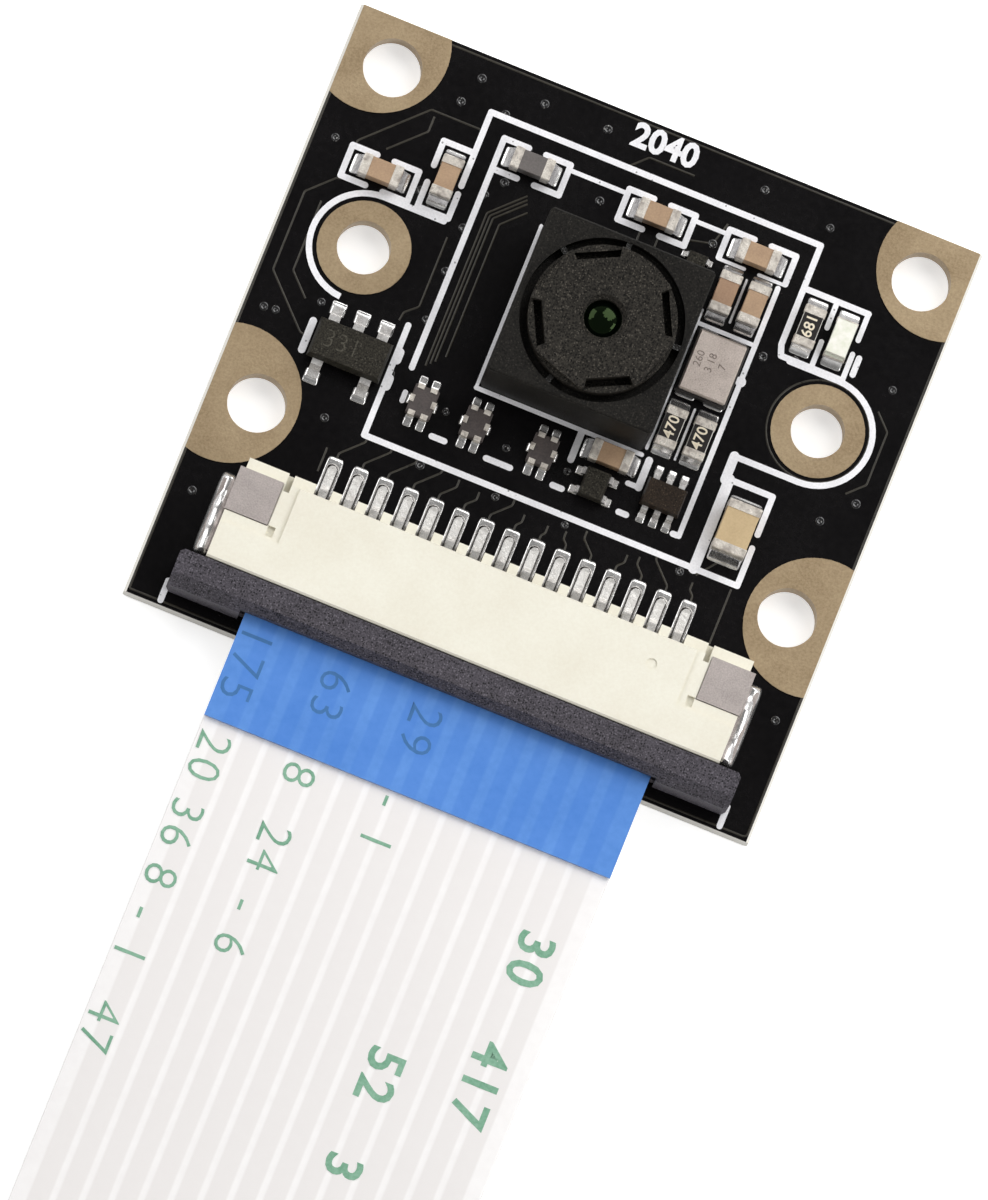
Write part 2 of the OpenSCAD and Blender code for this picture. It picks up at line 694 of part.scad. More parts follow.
// One pad with the solder that climbs a chip's end: the pad runs from
// x = inner to x = outer and the chip's end face stands at x = face
module solder_joint(inner, face, outer, climb, w) {
    slope = [for (a = [0 : 15 : 90])
        [face + (outer - face) * (1 - sin(a)), pad_t + climb * (1 - cos(a))]];
    rotate([90, 0, 0]) linear_extrude(w, center = true)
        polygon(concat([[inner, pad_t], [inner, 0], [outer, 0]], slope, [[face, pad_t]]));
}

// The two joints of a two-ended chip
module chip_joints(place, l, w, h) {
    at_chip(place) for (turn = [0, 180]) rotate(turn)
        solder_joint(l / 2 - end_cap_l, l / 2, l / 2 + fillet_l, h * fillet_rise, w);
}

// Pads with solder for leads along one side of a package
module lead_joints(n, pitch, w, from, to) {
    for (i = [0 : n - 1])
        translate([(i - (n - 1) / 2) * pitch, 0, 0]) block([-w / 2, from, 0], [w / 2, to, pad_t]);
}

module solder_joints() {
    color([0.75, 0.75, 0.77]) {
        for (place = capacitor_at) chip_joints(place, chip_l, chip_w, capacitor_h);
        chip_joints(bead_at, chip_l, chip_w, capacitor_h);
        for (place = resistor_at) chip_joints(place, chip_l, chip_w, resistor_h);
        chip_joints(lamp_at, chip_l, chip_w, lamp_h);
        chip_joints(bulk_at, bulk_size[0], bulk_size[1], bulk_size[2]);
        package_joints();
        connector_joints();
    }
}

// Pads of the leaded packages, the filters and the oscillator
module package_joints() {
    lead_pads(regulator_at, regulator_size, regulator_lead, 3, 2, 0.6, 0.24);
    lead_pads(transistor_at, transistor_size, transistor_lead, 3, 3, 0.34, 0.18);
    side_pads(shifter_at, shifter_size, shifter_lead, 0.36);
    side_pads(clamp_at, clamp_size, clamp_lead, 0.26);
    for (place = filter_at) at_chip(place)
        for (s = [0, 180]) rotate(s) {
            lead_joints(2, filter_pitch, 0.34, filter_size[1] / 2 - 0.2,
                        filter_size[1] / 2 + 0.44);
            block([filter_size[0] / 2 - 0.14, -0.2, 0],
                  [filter_size[0] / 2 + 0.13, 0.2, pad_t]);
        }
    at_chip(oscillator_at)
        for (x = [-1, 1], y = [-1, 1])
            translate([x * 0.56, y * 0.93, 0])
                block([-0.4, -0.44, 0], [0.4, 0.44, pad_t]);
}

// Pads under the two leads on the left and the two on the right of a package
module side_pads(at, size, lead, w) {
    at_chip([at[0], at[1], 90]) for (turn = [0, 180]) rotate(turn)
        lead_joints(2, lead[0], w, size[0] / 2, size[0] / 2 + lead[2] + 0.06);
}

// Pads under the leads on the far and near sides of one package
module lead_pads(place, size, lead, n_far, n_near, w, extra) {
    from = size[1] / 2 + lead[2] * 0.45;
    to = size[1] / 2 + lead[2] + extra;
    at_chip(place) {
        lead_joints(n_far, lead[0], w, from, to);
        mirror([0, 1, 0])
            lead_joints(n_near, n_near < n_far ? lead[0] * 2 : lead[0], w, from, to);
    }
}

// Pads of the connector's tails and clips, with the bead behind each tail
module connector_joints() {
    at_connector() {
        for (i = [0 : contact_n - 1])
            translate([i * contact_pitch - contact_span / 2, 0, 0]) {
                block([-tail_pad_w / 2, housing_l + 0.05, 0],
                      [tail_pad_w / 2, tail_end + tail_pad_past, pad_t]);
                rotate(90) solder_joint(tail_end - 0.1, tail_end, tail_end + 0.7 * tail_pad_past,
                                        0.8 * tail_h, contact_t);
            }
        both_sides()
            block([housing_half, 0.35, 0],
                  [housing_half + clip_foot + 0.1, housing_l - 0.05, pad_t]);
    }
}

// ---- small chips ----

// The body of a two-ended chip, between the metal of its end caps
module chip_body(place, l, w, h) {
    at_chip(place) translate([0, 0, pad_t + end_cap_t])
        bevelled_block([l - 2 * end_cap_t, w - 2 * end_cap_t, h - 2 * end_cap_t], 0.02);
}

// The two cups of metal on a chip's ends
module chip_caps(place, l, w, h) {
    at_chip(place) translate([0, 0, pad_t]) difference() {
        bevelled_block([l, w, h], 0.04);
        block([-l / 2 + end_cap_l, -w, -overlap], [l / 2 - end_cap_l, w, h + overlap]);
        translate([0, 0, end_cap_t])
            bevelled_block([l - 2 * end_cap_t, w - 2 * end_cap_t, h - 2 * end_cap_t], 0.02);
    }
}

module capacitor(i) {
    color([0.78, 0.6, 0.43]) chip_body(capacitor_at[i], chip_l, chip_w, capacitor_h);
}

module capacitor_caps() {
    color([0.85, 0.85, 0.86])
        for (place = capacitor_at) chip_caps(place, chip_l, chip_w, capacitor_h);
}

module bulk_capacitor() {
    color([0.8, 0.66, 0.46]) chip_body(bulk_at, bulk_size[0], bulk_size[1], bulk_size[2]);
}

module bulk_caps() {
    color([0.8, 0.78, 0.78]) chip_caps(bulk_at, bulk_size[0], bulk_size[1], bulk_size[2]);
}

module ferrite_bead() {
    color([0.4, 0.39, 0.38]) chip_body(bead_at, chip_l, chip_w, capacitor_h);
}

module bead_caps() {
    color([0.85, 0.85, 0.86]) chip_caps(bead_at, chip_l, chip_w, capacitor_h);
}

module resistor(i) {
    color([0.9, 0.9, 0.88]) chip_body(resistor_at[i], chip_l, chip_w, resistor_h);
}

// The dark coat on the top of each resistor, between its end caps
module resistor_coats() {
    l = chip_l / 2 - end_cap_l;
    w = chip_w / 2 - end_cap_t - 0.02;
    top = pad_t + resistor_h - end_cap_t;
    color([0.14, 0.13, 0.12]) for (place = resistor_at) at_chip(place)
        block([-l, -w, top], [l, w, top + end_cap_t]);
}

module resistor_caps() {
    color([0.88, 0.87, 0.86])
        for (place = resistor_at) chip_caps(place, chip_l, chip_w, resistor_h);
}

// The lamp: a thin base plate, the clear block on it and its end caps
module lamp_base() {
    color([0.85, 0.87, 0.8]) at_chip(lamp_at) translate([0, 0, pad_t + end_cap_t])
        bevelled_block([chip_l - 2 * end_cap_t, chip_w - 2 * end_cap_t, lamp_h * 0.4], 0.02);
}

module lamp_lens() {
    low = pad_t + end_cap_t + lamp_h * 0.4;
    color([0.9, 0.93, 0.86]) at_chip(lamp_at) translate([0, 0, low])
        moulded_block([chip_l - 0.24, chip_w - 0.02, lamp_h * 0.6 - 0.02], 0.02);
}

module lamp_caps() {
    color([0.86, 0.84, 0.8]) at_chip(lamp_at) translate([0, 0, pad_t]) difference() {
        bevelled_block([chip_l, chip_w, lamp_h * 0.4 + end_cap_t], 0.02);
        block([-chip_l / 2 + 0.2, -chip_w, -overlap], [chip_l / 2 - 0.2, chip_w, lamp_h]);
        translate([0, 0, end_cap_t])
            bevelled_block([chip_l - 2 * end_cap_t, chip_w - 2 * end_cap_t, lamp_h * 0.4], 0.02);
    }
}

module filter_body(i) {
    color([0.3, 0.28, 0.29]) at_chip(filter_at[i]) translate([0, 0, pad_t])
        bevelled_block(filter_size, 0.04);
}

// Terminals that wrap the filters' edges: two on each long side, one on each end
module filter_terminals() {
    t = 0.04;
    top = filter_size[2] + t;
    lip = 0.14;
    color([0.85, 0.84, 0.85]) for (place = filter_at) at_chip(place) translate([0, 0, pad_t])
        difference() {
            for (turn = [0, 180]) rotate(turn) {
                for (x = [-1, 1]) translate([x * filter_pitch / 2, 0, 0])
                    block([-filter_terminal_w / 2, filter_size[1] / 2 - lip, 0],
                          [filter_terminal_w / 2, filter_size[1] / 2 + t, top]);
                block([filter_size[0] / 2 - lip, -filter_terminal_w / 2, 0],
                      [filter_size[0] / 2 + t, filter_terminal_w / 2, top]);
            }
            bevelled_block(filter_size, 0.04);
        }
}

// ---- packages ----

module oscillator_base() {
    color([0.2, 0.18, 0.17]) at_chip(oscillator_at) translate([0, 0, pad_t])
        bevelled_block(oscillator_size, 0.05);
}

module oscillator_lid() {
    lid = [oscillator_size[0] - 2 * oscillator_rim, oscillator_size[1] - 2 * oscillator_rim,
           oscillator_lid_h];
    color([0.74, 0.69, 0.66]) at_chip(oscillator_at)
        translate([0, 0, pad_t + oscillator_size[2]]) bevelled_block(lid, 0.06);
}

// A gull-wing lead that leaves a package's side at y = side and at half height
module gull_lead(side, h, lead) {
    t = lead[3];
    reach = lead[2];
    mid = pad_t + h / 2;
    along_x(lead[1], [
        [side, mid - t / 2], [side + reach * 0.25, mid - t / 2], [side + reach * 0.45, pad_t],
        [side + reach, pad_t], [side + reach, pad_t + t], [side + reach * 0.55, pad_t + t],
        [side + reach * 0.35, mid + t / 2], [side, mid + t / 2]
    ]);
}

// Rows of leads on the far and near sides of a package
module lead_rows(place, size, lead, n_far, n_near) {
    near_pitch = n_near < n_far ? lead[0] * 2 : lead[0];
    at_chip(place) {
        for (i = [0 : n_far - 1])
            translate([(i - (n_far - 1) / 2) * lead[0], 0, 0])
                gull_lead(size[1] / 2, size[2], lead);
        for (i = [0 : n_near - 1])
            translate([(i - (n_near - 1) / 2) * near_pitch, 0, 0])
                mirror([0, 1, 0]) gull_lead(size[1] / 2, size[2], lead);
    }
}

module regulator_body() {
    color([0.24, 0.23, 0.23]) at_chip(regulator_at) translate([0, 0, pad_t])
        moulded_block(regulator_size, 0.1);
}

module regulator_leads() {
    color([0.83, 0.82, 0.8]) lead_rows(regulator_at, regulator_size, regulator_lead, 3, 2);
}

module transistor_body() {
    color([0.2, 0.17, 0.14]) at_chip(transistor_at) translate([0, 0, pad_t])
        moulded_block(transistor_size, 0.06);
}

module transistor_leads() {
    color([0.83, 0.82, 0.8])
        lead_rows(transistor_at, transistor_size, transistor_lead, 3, 3);
}

module shifter_body() {
    color([0.22, 0.21, 0.21]) at_chip(shifter_at) translate([0, 0, pad_t])
        moulded_block(shifter_size, 0.05);
}

// Two leads on the left and two on the right side of a package
module side_leads(at, size, lead) {
    lead_rows([at[0], at[1], 90], [size[1], size[0], size[2]], lead, 2, 2);
}

module shifter_leads() {
    color([0.83, 0.82, 0.8]) side_leads(shifter_at, shifter_size, shifter_lead);
}

module clamp_body() {
    color([0.26, 0.24, 0.24]) at_chip(clamp_at) translate([0, 0, pad_t])
        moulded_block(clamp_size, 0.04);
}

module clamp_leads() {
    color([0.83, 0.82, 0.8]) side_leads(clamp_at, clamp_size, clamp_lead);
}

// ---- lens and sensor ----

// Puts its children on the lens axis, at the top of the board
module on_axis() {
    on_board() translate([lens_x, lens_y, 0]) children();
}

module lens_holder() {
    room = holder_w - 2 * holder_wall;
    light = ir_filter_w - 0.8;
    color([0.16, 0.15, 0.15]) on_axis() difference() {
        bevelled_holder();
        block([-room / 2, -room / 2, -overlap], [room / 2, room / 2, ir_seat_h - 0.2]);
        block([-light / 2, -light / 2, 0], [light / 2, light / 2, ir_seat_h + overlap]);
        translate([0, 0, ir_seat_h]) linear_extrude(barrel_foot - ir_seat_h)
            square(ir_filter_w + 2 * lens_gap, center = true);
        translate([0, 0, barrel_foot - 0.05])
            cylinder(h = holder_h, d = barrel_d + 2 * barrel_gap, $fn = fine);
        translate([0, 0, well_floor]) cylinder(h = holder_h, d = well_d, $fn = fine);
    }
}

// The holder's block, with its four upright edges and its top edge bevelled
module bevelled_holder() {
    intersection() {
        linear_extrude(holder_h) polygon(cut_rectangle(holder_w, holder_w, 0.12));
        both_ways() rotate([90, 0, 0]) linear_extrude(holder_w, center = true) polygon([
            [-holder_w / 2, 0], [holder_w / 2, 0], [holder_w / 2, holder_h - 0.06],
            [holder_w / 2 - 0.06, holder_h], [-holder_w / 2 + 0.06, holder_h],
            [-holder_w / 2, holder_h - 0.06]
        ]);
    }
}

// Keeps what its child and the child turned by a quarter have in common
module both_ways() {
    intersection() {
        children();
        rotate(90) children();
    }
}

// Levels that the tops of the three lenses reach in the barrel
pocket = [for (i = [0 : 2]) barrel_top - face_t
    - (i > 0 ? lens_t[0] + spacer_t : 0) - (i > 1 ? lens_t[1] + spacer_t : 0)];

// Section of the barrel: radius and height above the board
function barrel_outline() = let (
    head_r = barrel_head_d / 2, entry_r = aperture_d / 2, face = barrel_top,
    bore = [for (r = lens_r) r + lens_gap]
) [
    [bore[2], barrel_foot], [barrel_d / 2, barrel_foot], [barrel_d / 2, well_floor + 0.1],
    [head_r, well_floor + 0.1], [head_r, face - 0.06], [head_r - 0.06, face],
    [entry_r + aperture_bevel, face], [entry_r, face - aperture_bevel], [entry_r, pocket[0]],
    [bore[0], pocket[0]], [bore[0], pocket[1]], [bore[1], pocket[1]],
    [bore[1], pocket[2]], [bore[2], pocket[2]]
];

// Cuts one tool notch: a pocket that widens outwards, behind a lowered rim
module tool_notch() {
    out = notch_r + notch_l;
    past = barrel_head_d / 2 + overlap;
    rim = barrel_top - flat_depth;
    low = barrel_top - notch_depth;
    above = barrel_top + overlap;
    from = notch_r - 0.5;
    half = [for (x = [from, past]) notch_w / 2 + notch_flare * (x - notch_r)];
    intersection() {
        rotate([90, 0, 0]) linear_extrude(barrel_head_d, center = true) polygon([
            [notch_r, low], [out, low], [out, rim], [past, rim], [past, above], [notch_r, above]
        ]);
        linear_extrude(above) polygon([
            [from, -half[0]], [past, -half[1]], [past, half[1]], [from, half[0]]
        ]);
    }
}

module lens_barrel() {
    head_r = barrel_head_d / 2;
    turn = 360 / notch_n;
    color([0.17, 0.16, 0.16]) on_axis() difference() {
        rotate_extrude($fn = fine) polygon(barrel_outline());
        for (i = [0 : notch_n - 1]) {
            rotate(notch_angle + i * turn) tool_notch();
            rotate(notch_angle + (i + 0.5) * turn)
                block([head_flat, -head_r, barrel_top - flat_depth],
                      [head_r + overlap, head_r, barrel_top + overlap]);
        }
    }
}

// Half of a lens face: a bulge of a given height over a given radius
function bulge(r, h, z, steps = 8) =
    [for (i = [0 : steps]) [r * i / steps, z + h * (1 - pow(i / steps, 2))]];

// A lens of radius r and rim thickness t; upper and lower give the radius and
// height of the bulge on each face, and a negative height is a hollow
module lens(r, t, top, upper, lower) {
    on_axis() translate([0, 0, top - t]) rotate_extrude($fn = fine) polygon(concat(
        bulge(lower[0], -lower[1], 0), [[r, 0], [r, t]], reversed(bulge(upper[0], upper[1], t))
    ));
}

module front_lens() {
    color([0.35, 0.45, 0.4, 0.6])
        lens(lens_r[0], lens_t[0], pocket[0], [aperture_d / 2 - 0.03, 0.2],
             [lens_r[0] - spacer_rim, -0.08]);
}

module middle_lens() {
    color([0.35, 0.45, 0.4, 0.6])
        lens(lens_r[1], lens_t[1], pocket[1], [lens_r[0] - spacer_rim, -0.12],
             [lens_r[1] - spacer_rim, spacer_t / 2]);
}

module rear_lens() {
    color([0.35, 0.45, 0.4, 0.6])
        lens(lens_r[2], lens_t[2], pocket[2], [lens_r[1] - spacer_rim, spacer_t / 3],
             [lens_r[2] - 0.5, -0.12]);
}

// A black ring between two lenses
module lens_spacer(i) {
    color([0.1, 0.1, 0.1]) on_axis() translate([0, 0, pocket[i] - lens_t[i] - spacer_t])
        difference() {
            cylinder(h = spacer_t, r = lens_r[i], $fn = fine);
            translate([0, 0, -overlap])
                cylinder(h = spacer_t + 2 * overlap, r = lens_r[i] - spacer_rim + 0.02, $fn = fine);
        }
}

module lens_retainer() {
    color([0.12, 0.12, 0.12]) on_axis()
        translate([0, 0, pocket[2] - lens_t[2] - retainer_h]) difference() {
            cylinder(h = retainer_h, r = lens_r[2], $fn = fine);
            translate([0, 0, -overlap])
                cylinder(h = retainer_h + 2 * overlap, r = lens_r[2] - 0.45, $fn = fine);
        }
}

// Glue that fills the gap between the barrel's head and the well in places
module glue_spots() {
    color([0.7, 0.7, 0.72]) on_axis() translate([0, 0, well_floor])
        for (a = glue_at)
            ring_sector(barrel_head_d / 2, well_d / 2, a - glue_span / 2, a + glue_span / 2,
                        well_depth - 0.05);
}

module infrared_filter() {
    color([0.5, 0.75, 0.7, 0.5]) on_axis() translate([0, 0, ir_seat_h])
        linear_extrude(ir_filter_t) square(ir_filter_w, center = true);
}

module image_sensor() {
    color([0.25, 0.3, 0.28]) on_axis() linear_extrude(sensor_size[2])
        square([sensor_size[0], sensor_size[1]], center = true);
}

module sensor_glass() {
    color([0.6, 0.8, 0.75, 0.5]) on_axis() translate([0, 0, sensor_size[2]])
        linear_extrude(sensor_glass_t)
            square([sensor_size[0] - 0.2, sensor_size[1] - 0.2], center = true);
}

// ---- connector ----

// Slot of one contact, open below, into the cable slot and through the comb
module contact_slot() {
    w = contact_t / 2 + contact_gap;
    comb_w = comb_slot_w / 2;
    block([-w, 0.6, -overlap], [w, housing_l + overlap, slot_floor + 0.01]);
    block([-w, contact_root, -overlap], [w, comb_back + overlap, 1.16]);
    block([-comb_w, housing_l, -overlap], [comb_w, comb_back + overlap, comb_h + overlap]);
}

// Channel of one guide arm, with the wider pocket that its nub moves in
module arm_channel() {
    low = arm_low - slider_gap;
    high = arm_low + arm_h + slider_gap;
    nub_front = arm_l - nub_l;
    outer = arm_x + arm_w;
    block([arm_x - slider_gap, -overlap, low], [outer + slider_gap, 3, high]);
    block([outer, nub_front - slider_travel - slider_gap, low],
          [outer + nub_out + slider_gap, 3, high]);
}

// Seat of a clip: the sunk corner under its plate, the recess behind its wall
// and the slot that lets its tooth spring
module clip_seat() {
    room = 0.03;
    plate_low = housing_l - clip_plate_l - room;
    plate_x = clip_wall - clip_plate_w - room;
    far = [housing_half + overlap, housing_l + overlap, housing_h + overlap];
    block([plate_x - 0.6, plate_low - 0.45, housing_h - 0.1], far);
    block([plate_x, plate_low, clip_top - clip_t], far);
    block([clip_wall, plate_low, -overlap], far);
    block([clip_wall, clip_low - room, -overlap],
          [housing_half + overlap, clip_foot_back + room, 0.9 + room]);
    block([plate_x - 0.3, plate_low - 0.35, housing_h - 0.25],
          [plate_x - 0.02, plate_low + 0.05, housing_h]);
    block([plate_x - 0.26, housing_l - 0.3, comb_h - 0.5],
          [plate_x - 0.04, comb_back + overlap, housing_h]);
}

module connector_housing() {
    color([0.95, 0.92, 0.85]) at_connector() difference() {
        along_x(housing_w, [
            [0, housing_lift], [comb_back, housing_lift], [comb_back, comb_h],
            [housing_l, comb_h], [housing_l, housing_h - 0.06], [housing_l - 0.06, housing_h],
            [0.08, housing_h], [0, housing_h - 0.08]
        ]);
        translate([gate_at[0], gate_at[1], housing_h - gate_depth])
            cylinder(h = overlap, d = gate_d, $fn = 32);
        block([-cable_slot_w / 2, -overlap, slot_floor],
              [cable_slot_w / 2, slot_l, slot_ceiling]);
        for (i = [0 : contact_n - 1])
            translate([i * contact_pitch - contact_span / 2, 0, 0]) contact_slot();
        both_sides() {
            arm_channel();
            clip_seat();
        }
    }
}

// Side view of one contact, from the tip of its beam to the round end of its tail
contact_side = [
    [tail_end - contact_t / 2, pad_t], [comb_back + 0.15, pad_t], [comb_back - 0.1, 0.2],
    [contact_root + 0.1, 0.2], [1, 0.42], [0.85, 0.55], [1.2, ribbon_h - finger_t - 0.02],
    [1.5, ribbon_h - finger_t - 0.02], [1.9, 0.72], [contact_root + 0.05, 0.58],
    [contact_root + 0.05, 1.1], [housing_l + 0.2, 1.1], [comb_back, 0.75],
    [comb_back + 0.25, tail_h + 0.04], [tail_end - contact_t / 2, tail_h]
];

module contact_pins() {
    color([0.8, 0.79, 0.76]) at_connector()
        for (i = [0 : contact_n - 1])
            translate([i * contact_pitch - contact_span / 2, 0, 0]) {
                along_x(contact_t, contact_side);
                translate([0, tail_end - contact_t / 2, pad_t])
                    cylinder(h = tail_h - pad_t, d = contact_t, $fn = 32);
            }
}

// A hold-down clip: top plate, side wall and foot, bent from one sheet
module clip() {
    plate_low = housing_l - clip_plate_l;
    back = housing_l - 0.02;
    outer = clip_wall + clip_t;
    block([clip_wall - clip_plate_w, plate_low, clip_top - clip_t], [outer, back, clip_top]);
    block([clip_wall, plate_low, pad_t], [outer, back, clip_top]);
    block([clip_wall, clip_low, pad_t], [outer, clip_foot_back, 0.9]);
    block([clip_wall, clip_low, pad_t],
          [housing_half + clip_foot, clip_foot_back, pad_t + clip_t]);
}

module left_clip() {
    color([0.68, 0.67, 0.67]) at_connector() mirror([1, 0, 0]) clip();
}

module right_clip() {
    color([0.68, 0.67, 0.67]) at_connector() clip();
}

// Side view of the slider bar
slider_side = [
    [-slider_gap, 0.15], [-slider_gap, slider_h],
    [-slider_gap - slider_l + slider_slope, slider_h],
    [-slider_gap - slider_l, slider_h - 0.6], [-slider_gap - slider_l, 0.15]
];

module connector_slider() {
    mouth_w = cable_slot_w + 0.1;
    tongue_low = slot_ceiling - slider_gap - tongue_t;
    color([0.28, 0.27, 0.29]) at_connector() {
        difference() {
            intersection() {
                along_x(slider_w, slider_side);
                translate([0, -slider_gap - slider_l / 2, 0]) linear_extrude(slider_h)
                    polygon(cut_rectangle(slider_w, slider_l, slider_corner));
            }
            block([-mouth_w / 2, -slider_l - overlap, slot_floor + 0.02],
                  [mouth_w / 2, overlap, tongue_low]);
            block([-mouth_w / 2, -slider_l - overlap, -overlap],
                  [mouth_w / 2, -slider_l + 0.09, slider_h + overlap]);
        }
        along_x(cable_slot_w - 2 * slider_gap, [
            [-0.2, tongue_low], [tongue_l - 0.4, tongue_low], [tongue_l, tongue_low + 0.2],
            [tongue_l, tongue_low + tongue_t], [-0.2, tongue_low + tongue_t]
        ]);
        both_sides() {
            block([arm_x, -0.2, arm_low], [arm_x + arm_w, arm_l, arm_low + arm_h]);
            block([arm_x, arm_l - nub_l, arm_low],
                  [arm_x + arm_w + nub_out, arm_l, arm_low + arm_h]);
        }
    }
}

// ---- ribbon cable ----

// Places on the ribbon's underside, from inside the connector to its far end
ribbon_path = concat(
    [[conn_front_y + ribbon_in, ribbon_z]],
    [for (p = ribbon_sag)
        [stiffener_end_y - p[0], ribbon_rest + (ribbon_z - ribbon_rest) * p[1]]],
    [[ribbon_end_y, ribbon_rest]]
);

// The same places, moved square to the path by a given height
function raised(path, h) = [for (i = [0 : len(path) - 1])
    let (a = path[max(i - 1, 0)], b = path[min(i + 1, len(path) - 1)], d = (b - a) / norm(b - a))
    path[i] + h * [d[1], -d[0]]];

module ribbon_cable() {
    color([0.93, 0.92, 0.92]) translate([conn_x, 0, 0])
        along_x(ribbon_w, concat(ribbon_path, reversed(raised(ribbon_path, ribbon_t))));
}

module near_stiffener() {
    color([0.33, 0.53, 0.86]) translate([conn_x, 0, ribbon_z + ribbon_t])
        block([-ribbon_w / 2, stiffener_end_y, 0],
              [ribbon_w / 2, conn_front_y + ribbon_in, stiffener_t]);
}

module far_stiffener() {
    color([0.33, 0.53, 0.86]) translate([conn_x, 0, ribbon_rest + ribbon_t])
        block([-ribbon_w / 2, ribbon_end_y, 0],
              [ribbon_w / 2, ribbon_end_y + stiffener_l, stiffener_t]);
}

// The bare conductors under one end of the ribbon, between two places along Y
module fingers(from, to, z) {
    color([0.82, 0.8, 0.76])
        for (i = [0 : contact_n - 1])
            translate([conn_x + i * contact_pitch - contact_span / 2, 0, z])
                block([-finger_w / 2, from, 0], [finger_w / 2, to, finger_t]);
}

module near_fingers() {
    y = conn_front_y + ribbon_in;
    fingers(y - finger_l, y, ribbon_z - finger_t);
}

module far_fingers() {
    fingers(ribbon_end_y, ribbon_end_y + finger_l, ribbon_rest - finger_t);
}

// ---- the whole part ----

circuit_board();
mounting_lands();
printed_outlines();
solder_joints();
lens_holder();
lens_barrel();
front_lens();
middle_lens();
rear_lens();
lens_spacer(0);  // front_spacer
lens_spacer(1);  // rear_spacer
lens_retainer();
glue_spots();
infrared_filter();
sensor_glass();
image_sensor();
connector_housing();
connector_slider();
contact_pins();
left_clip();
right_clip();
ribbon_cable();
near_stiffener();
far_stiffener();
near_fingers();
far_fingers();
for (i = [0 : len(capacitor_at) - 1])
    capacitor(i);
capacitor_caps();
bulk_capacitor();
bulk_caps();
ferrite_bead();
bead_caps();
for (i = [0 : len(resistor_at) - 1])
    resistor(i);
resistor_coats();
resistor_caps();
lamp_base();
lamp_lens();
lamp_caps();
for (i = [0 : len(filter_at) - 1])
    filter_body(i);
filter_terminals();
oscillator_base();
oscillator_lid();
regulator_body();
regulator_leads();
transistor_body();
transistor_leads();
shifter_body();
shifter_leads();
clamp_body();
clamp_leads();
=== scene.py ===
import json
import math
import random

import bmesh
import bpy
from mathutils import Matrix, Vector, noise


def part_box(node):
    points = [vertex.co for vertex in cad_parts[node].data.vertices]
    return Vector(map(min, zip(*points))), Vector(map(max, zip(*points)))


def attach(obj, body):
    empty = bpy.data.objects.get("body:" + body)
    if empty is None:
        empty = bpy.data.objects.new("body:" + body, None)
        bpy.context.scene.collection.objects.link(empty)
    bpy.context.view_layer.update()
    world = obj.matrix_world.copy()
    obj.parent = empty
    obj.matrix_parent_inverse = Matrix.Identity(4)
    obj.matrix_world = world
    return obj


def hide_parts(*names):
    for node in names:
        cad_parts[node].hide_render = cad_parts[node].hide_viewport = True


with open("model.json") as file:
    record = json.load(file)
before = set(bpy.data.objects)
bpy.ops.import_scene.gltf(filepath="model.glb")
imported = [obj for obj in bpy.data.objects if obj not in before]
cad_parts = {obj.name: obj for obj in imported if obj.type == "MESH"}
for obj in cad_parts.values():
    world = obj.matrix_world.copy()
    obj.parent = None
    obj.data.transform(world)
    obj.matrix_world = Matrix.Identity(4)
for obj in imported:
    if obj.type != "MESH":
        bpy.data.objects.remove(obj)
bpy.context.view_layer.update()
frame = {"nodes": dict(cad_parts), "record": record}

mm = 0.001
mainBody = "camera_board"
nodes = frame["nodes"]
scene = bpy.context.scene


def boxOf(node):
    # lowest and highest corner of a frame node, in millimetres
    low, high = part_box(node)
    return low / mm, high / mm


def addObject(name, data):
    made = bpy.data.objects.new(name, data)
    scene.collection.objects.link(made)
    return made


def setInputs(node, values):
    for socket, value in values.items():
        node.inputs[socket].default_value = value


def addNode(tree, kind, values=None, **settings):
    # a node with its settings and the values of its sockets
    node = tree.nodes.new(kind)
    for key, value in settings.items():
        setattr(node, key, value)
    setInputs(node, values or {})
    return node


def worked(tree, operation, *values):
    # the result of a Math node that is fed by sockets or plain numbers
    node = addNode(tree, "ShaderNodeMath", operation=operation)
    for socket, value in zip(node.inputs, values):
        if isinstance(value, bpy.types.NodeSocket):
            tree.links.new(value, socket)
        else:
            socket.default_value = value
    return node.outputs[0]


boardLow, boardHigh = boxOf("circuit_board")
boardTop = boardHigh.z


# camera, floor and light

shot = {  # mm and degrees
    "target": Vector((0.367, -6.976, 1.0)),
    "distance": 700.0,
    "tilt": 9.261,
    "turn": -5.074,
    "roll": 21.899,
    "lens": 572.5,
    "clip": (0.01, 20),  # metres
}


def makeCamera():
    tilt, turn, roll = (math.radians(shot[key]) for key in ("tilt", "turn", "roll"))
    back = Vector((math.sin(tilt) * math.sin(turn), -math.sin(tilt) * math.cos(turn), math.cos(tilt)))
    upward = Vector((0, 1, 0))
    upward = (upward - upward.dot(back) * back).normalized()
    right = upward.cross(back)
    across = math.cos(roll) * right + math.sin(roll) * upward
    along = -math.sin(roll) * right + math.cos(roll) * upward
    camera = addObject("camera", bpy.data.cameras.new("camera"))
    place = (shot["target"] + shot["distance"] * back) * mm
    camera.matrix_world = Matrix.Translation(place) @ Matrix((across, along, back)).transposed().to_4x4()
    camera.data.lens = shot["lens"]
    camera.data.clip_start, camera.data.clip_end = shot["clip"]
    scene.camera = camera


# each soft light: compass angle, height angle, distance, side (mm) and share of full light
lights = {
    "keyLight": (155, 50, 620, 420, 0.42),
    "fillLight": (-108, 40, 640, 400, 0.24),
    "sideLight": (82, 36, 640, 320, 0.2),
}
fullLight = math.pi ** 2  # watts per square metre of distance that light a white face fully
aim = Vector((0, -6, 0))


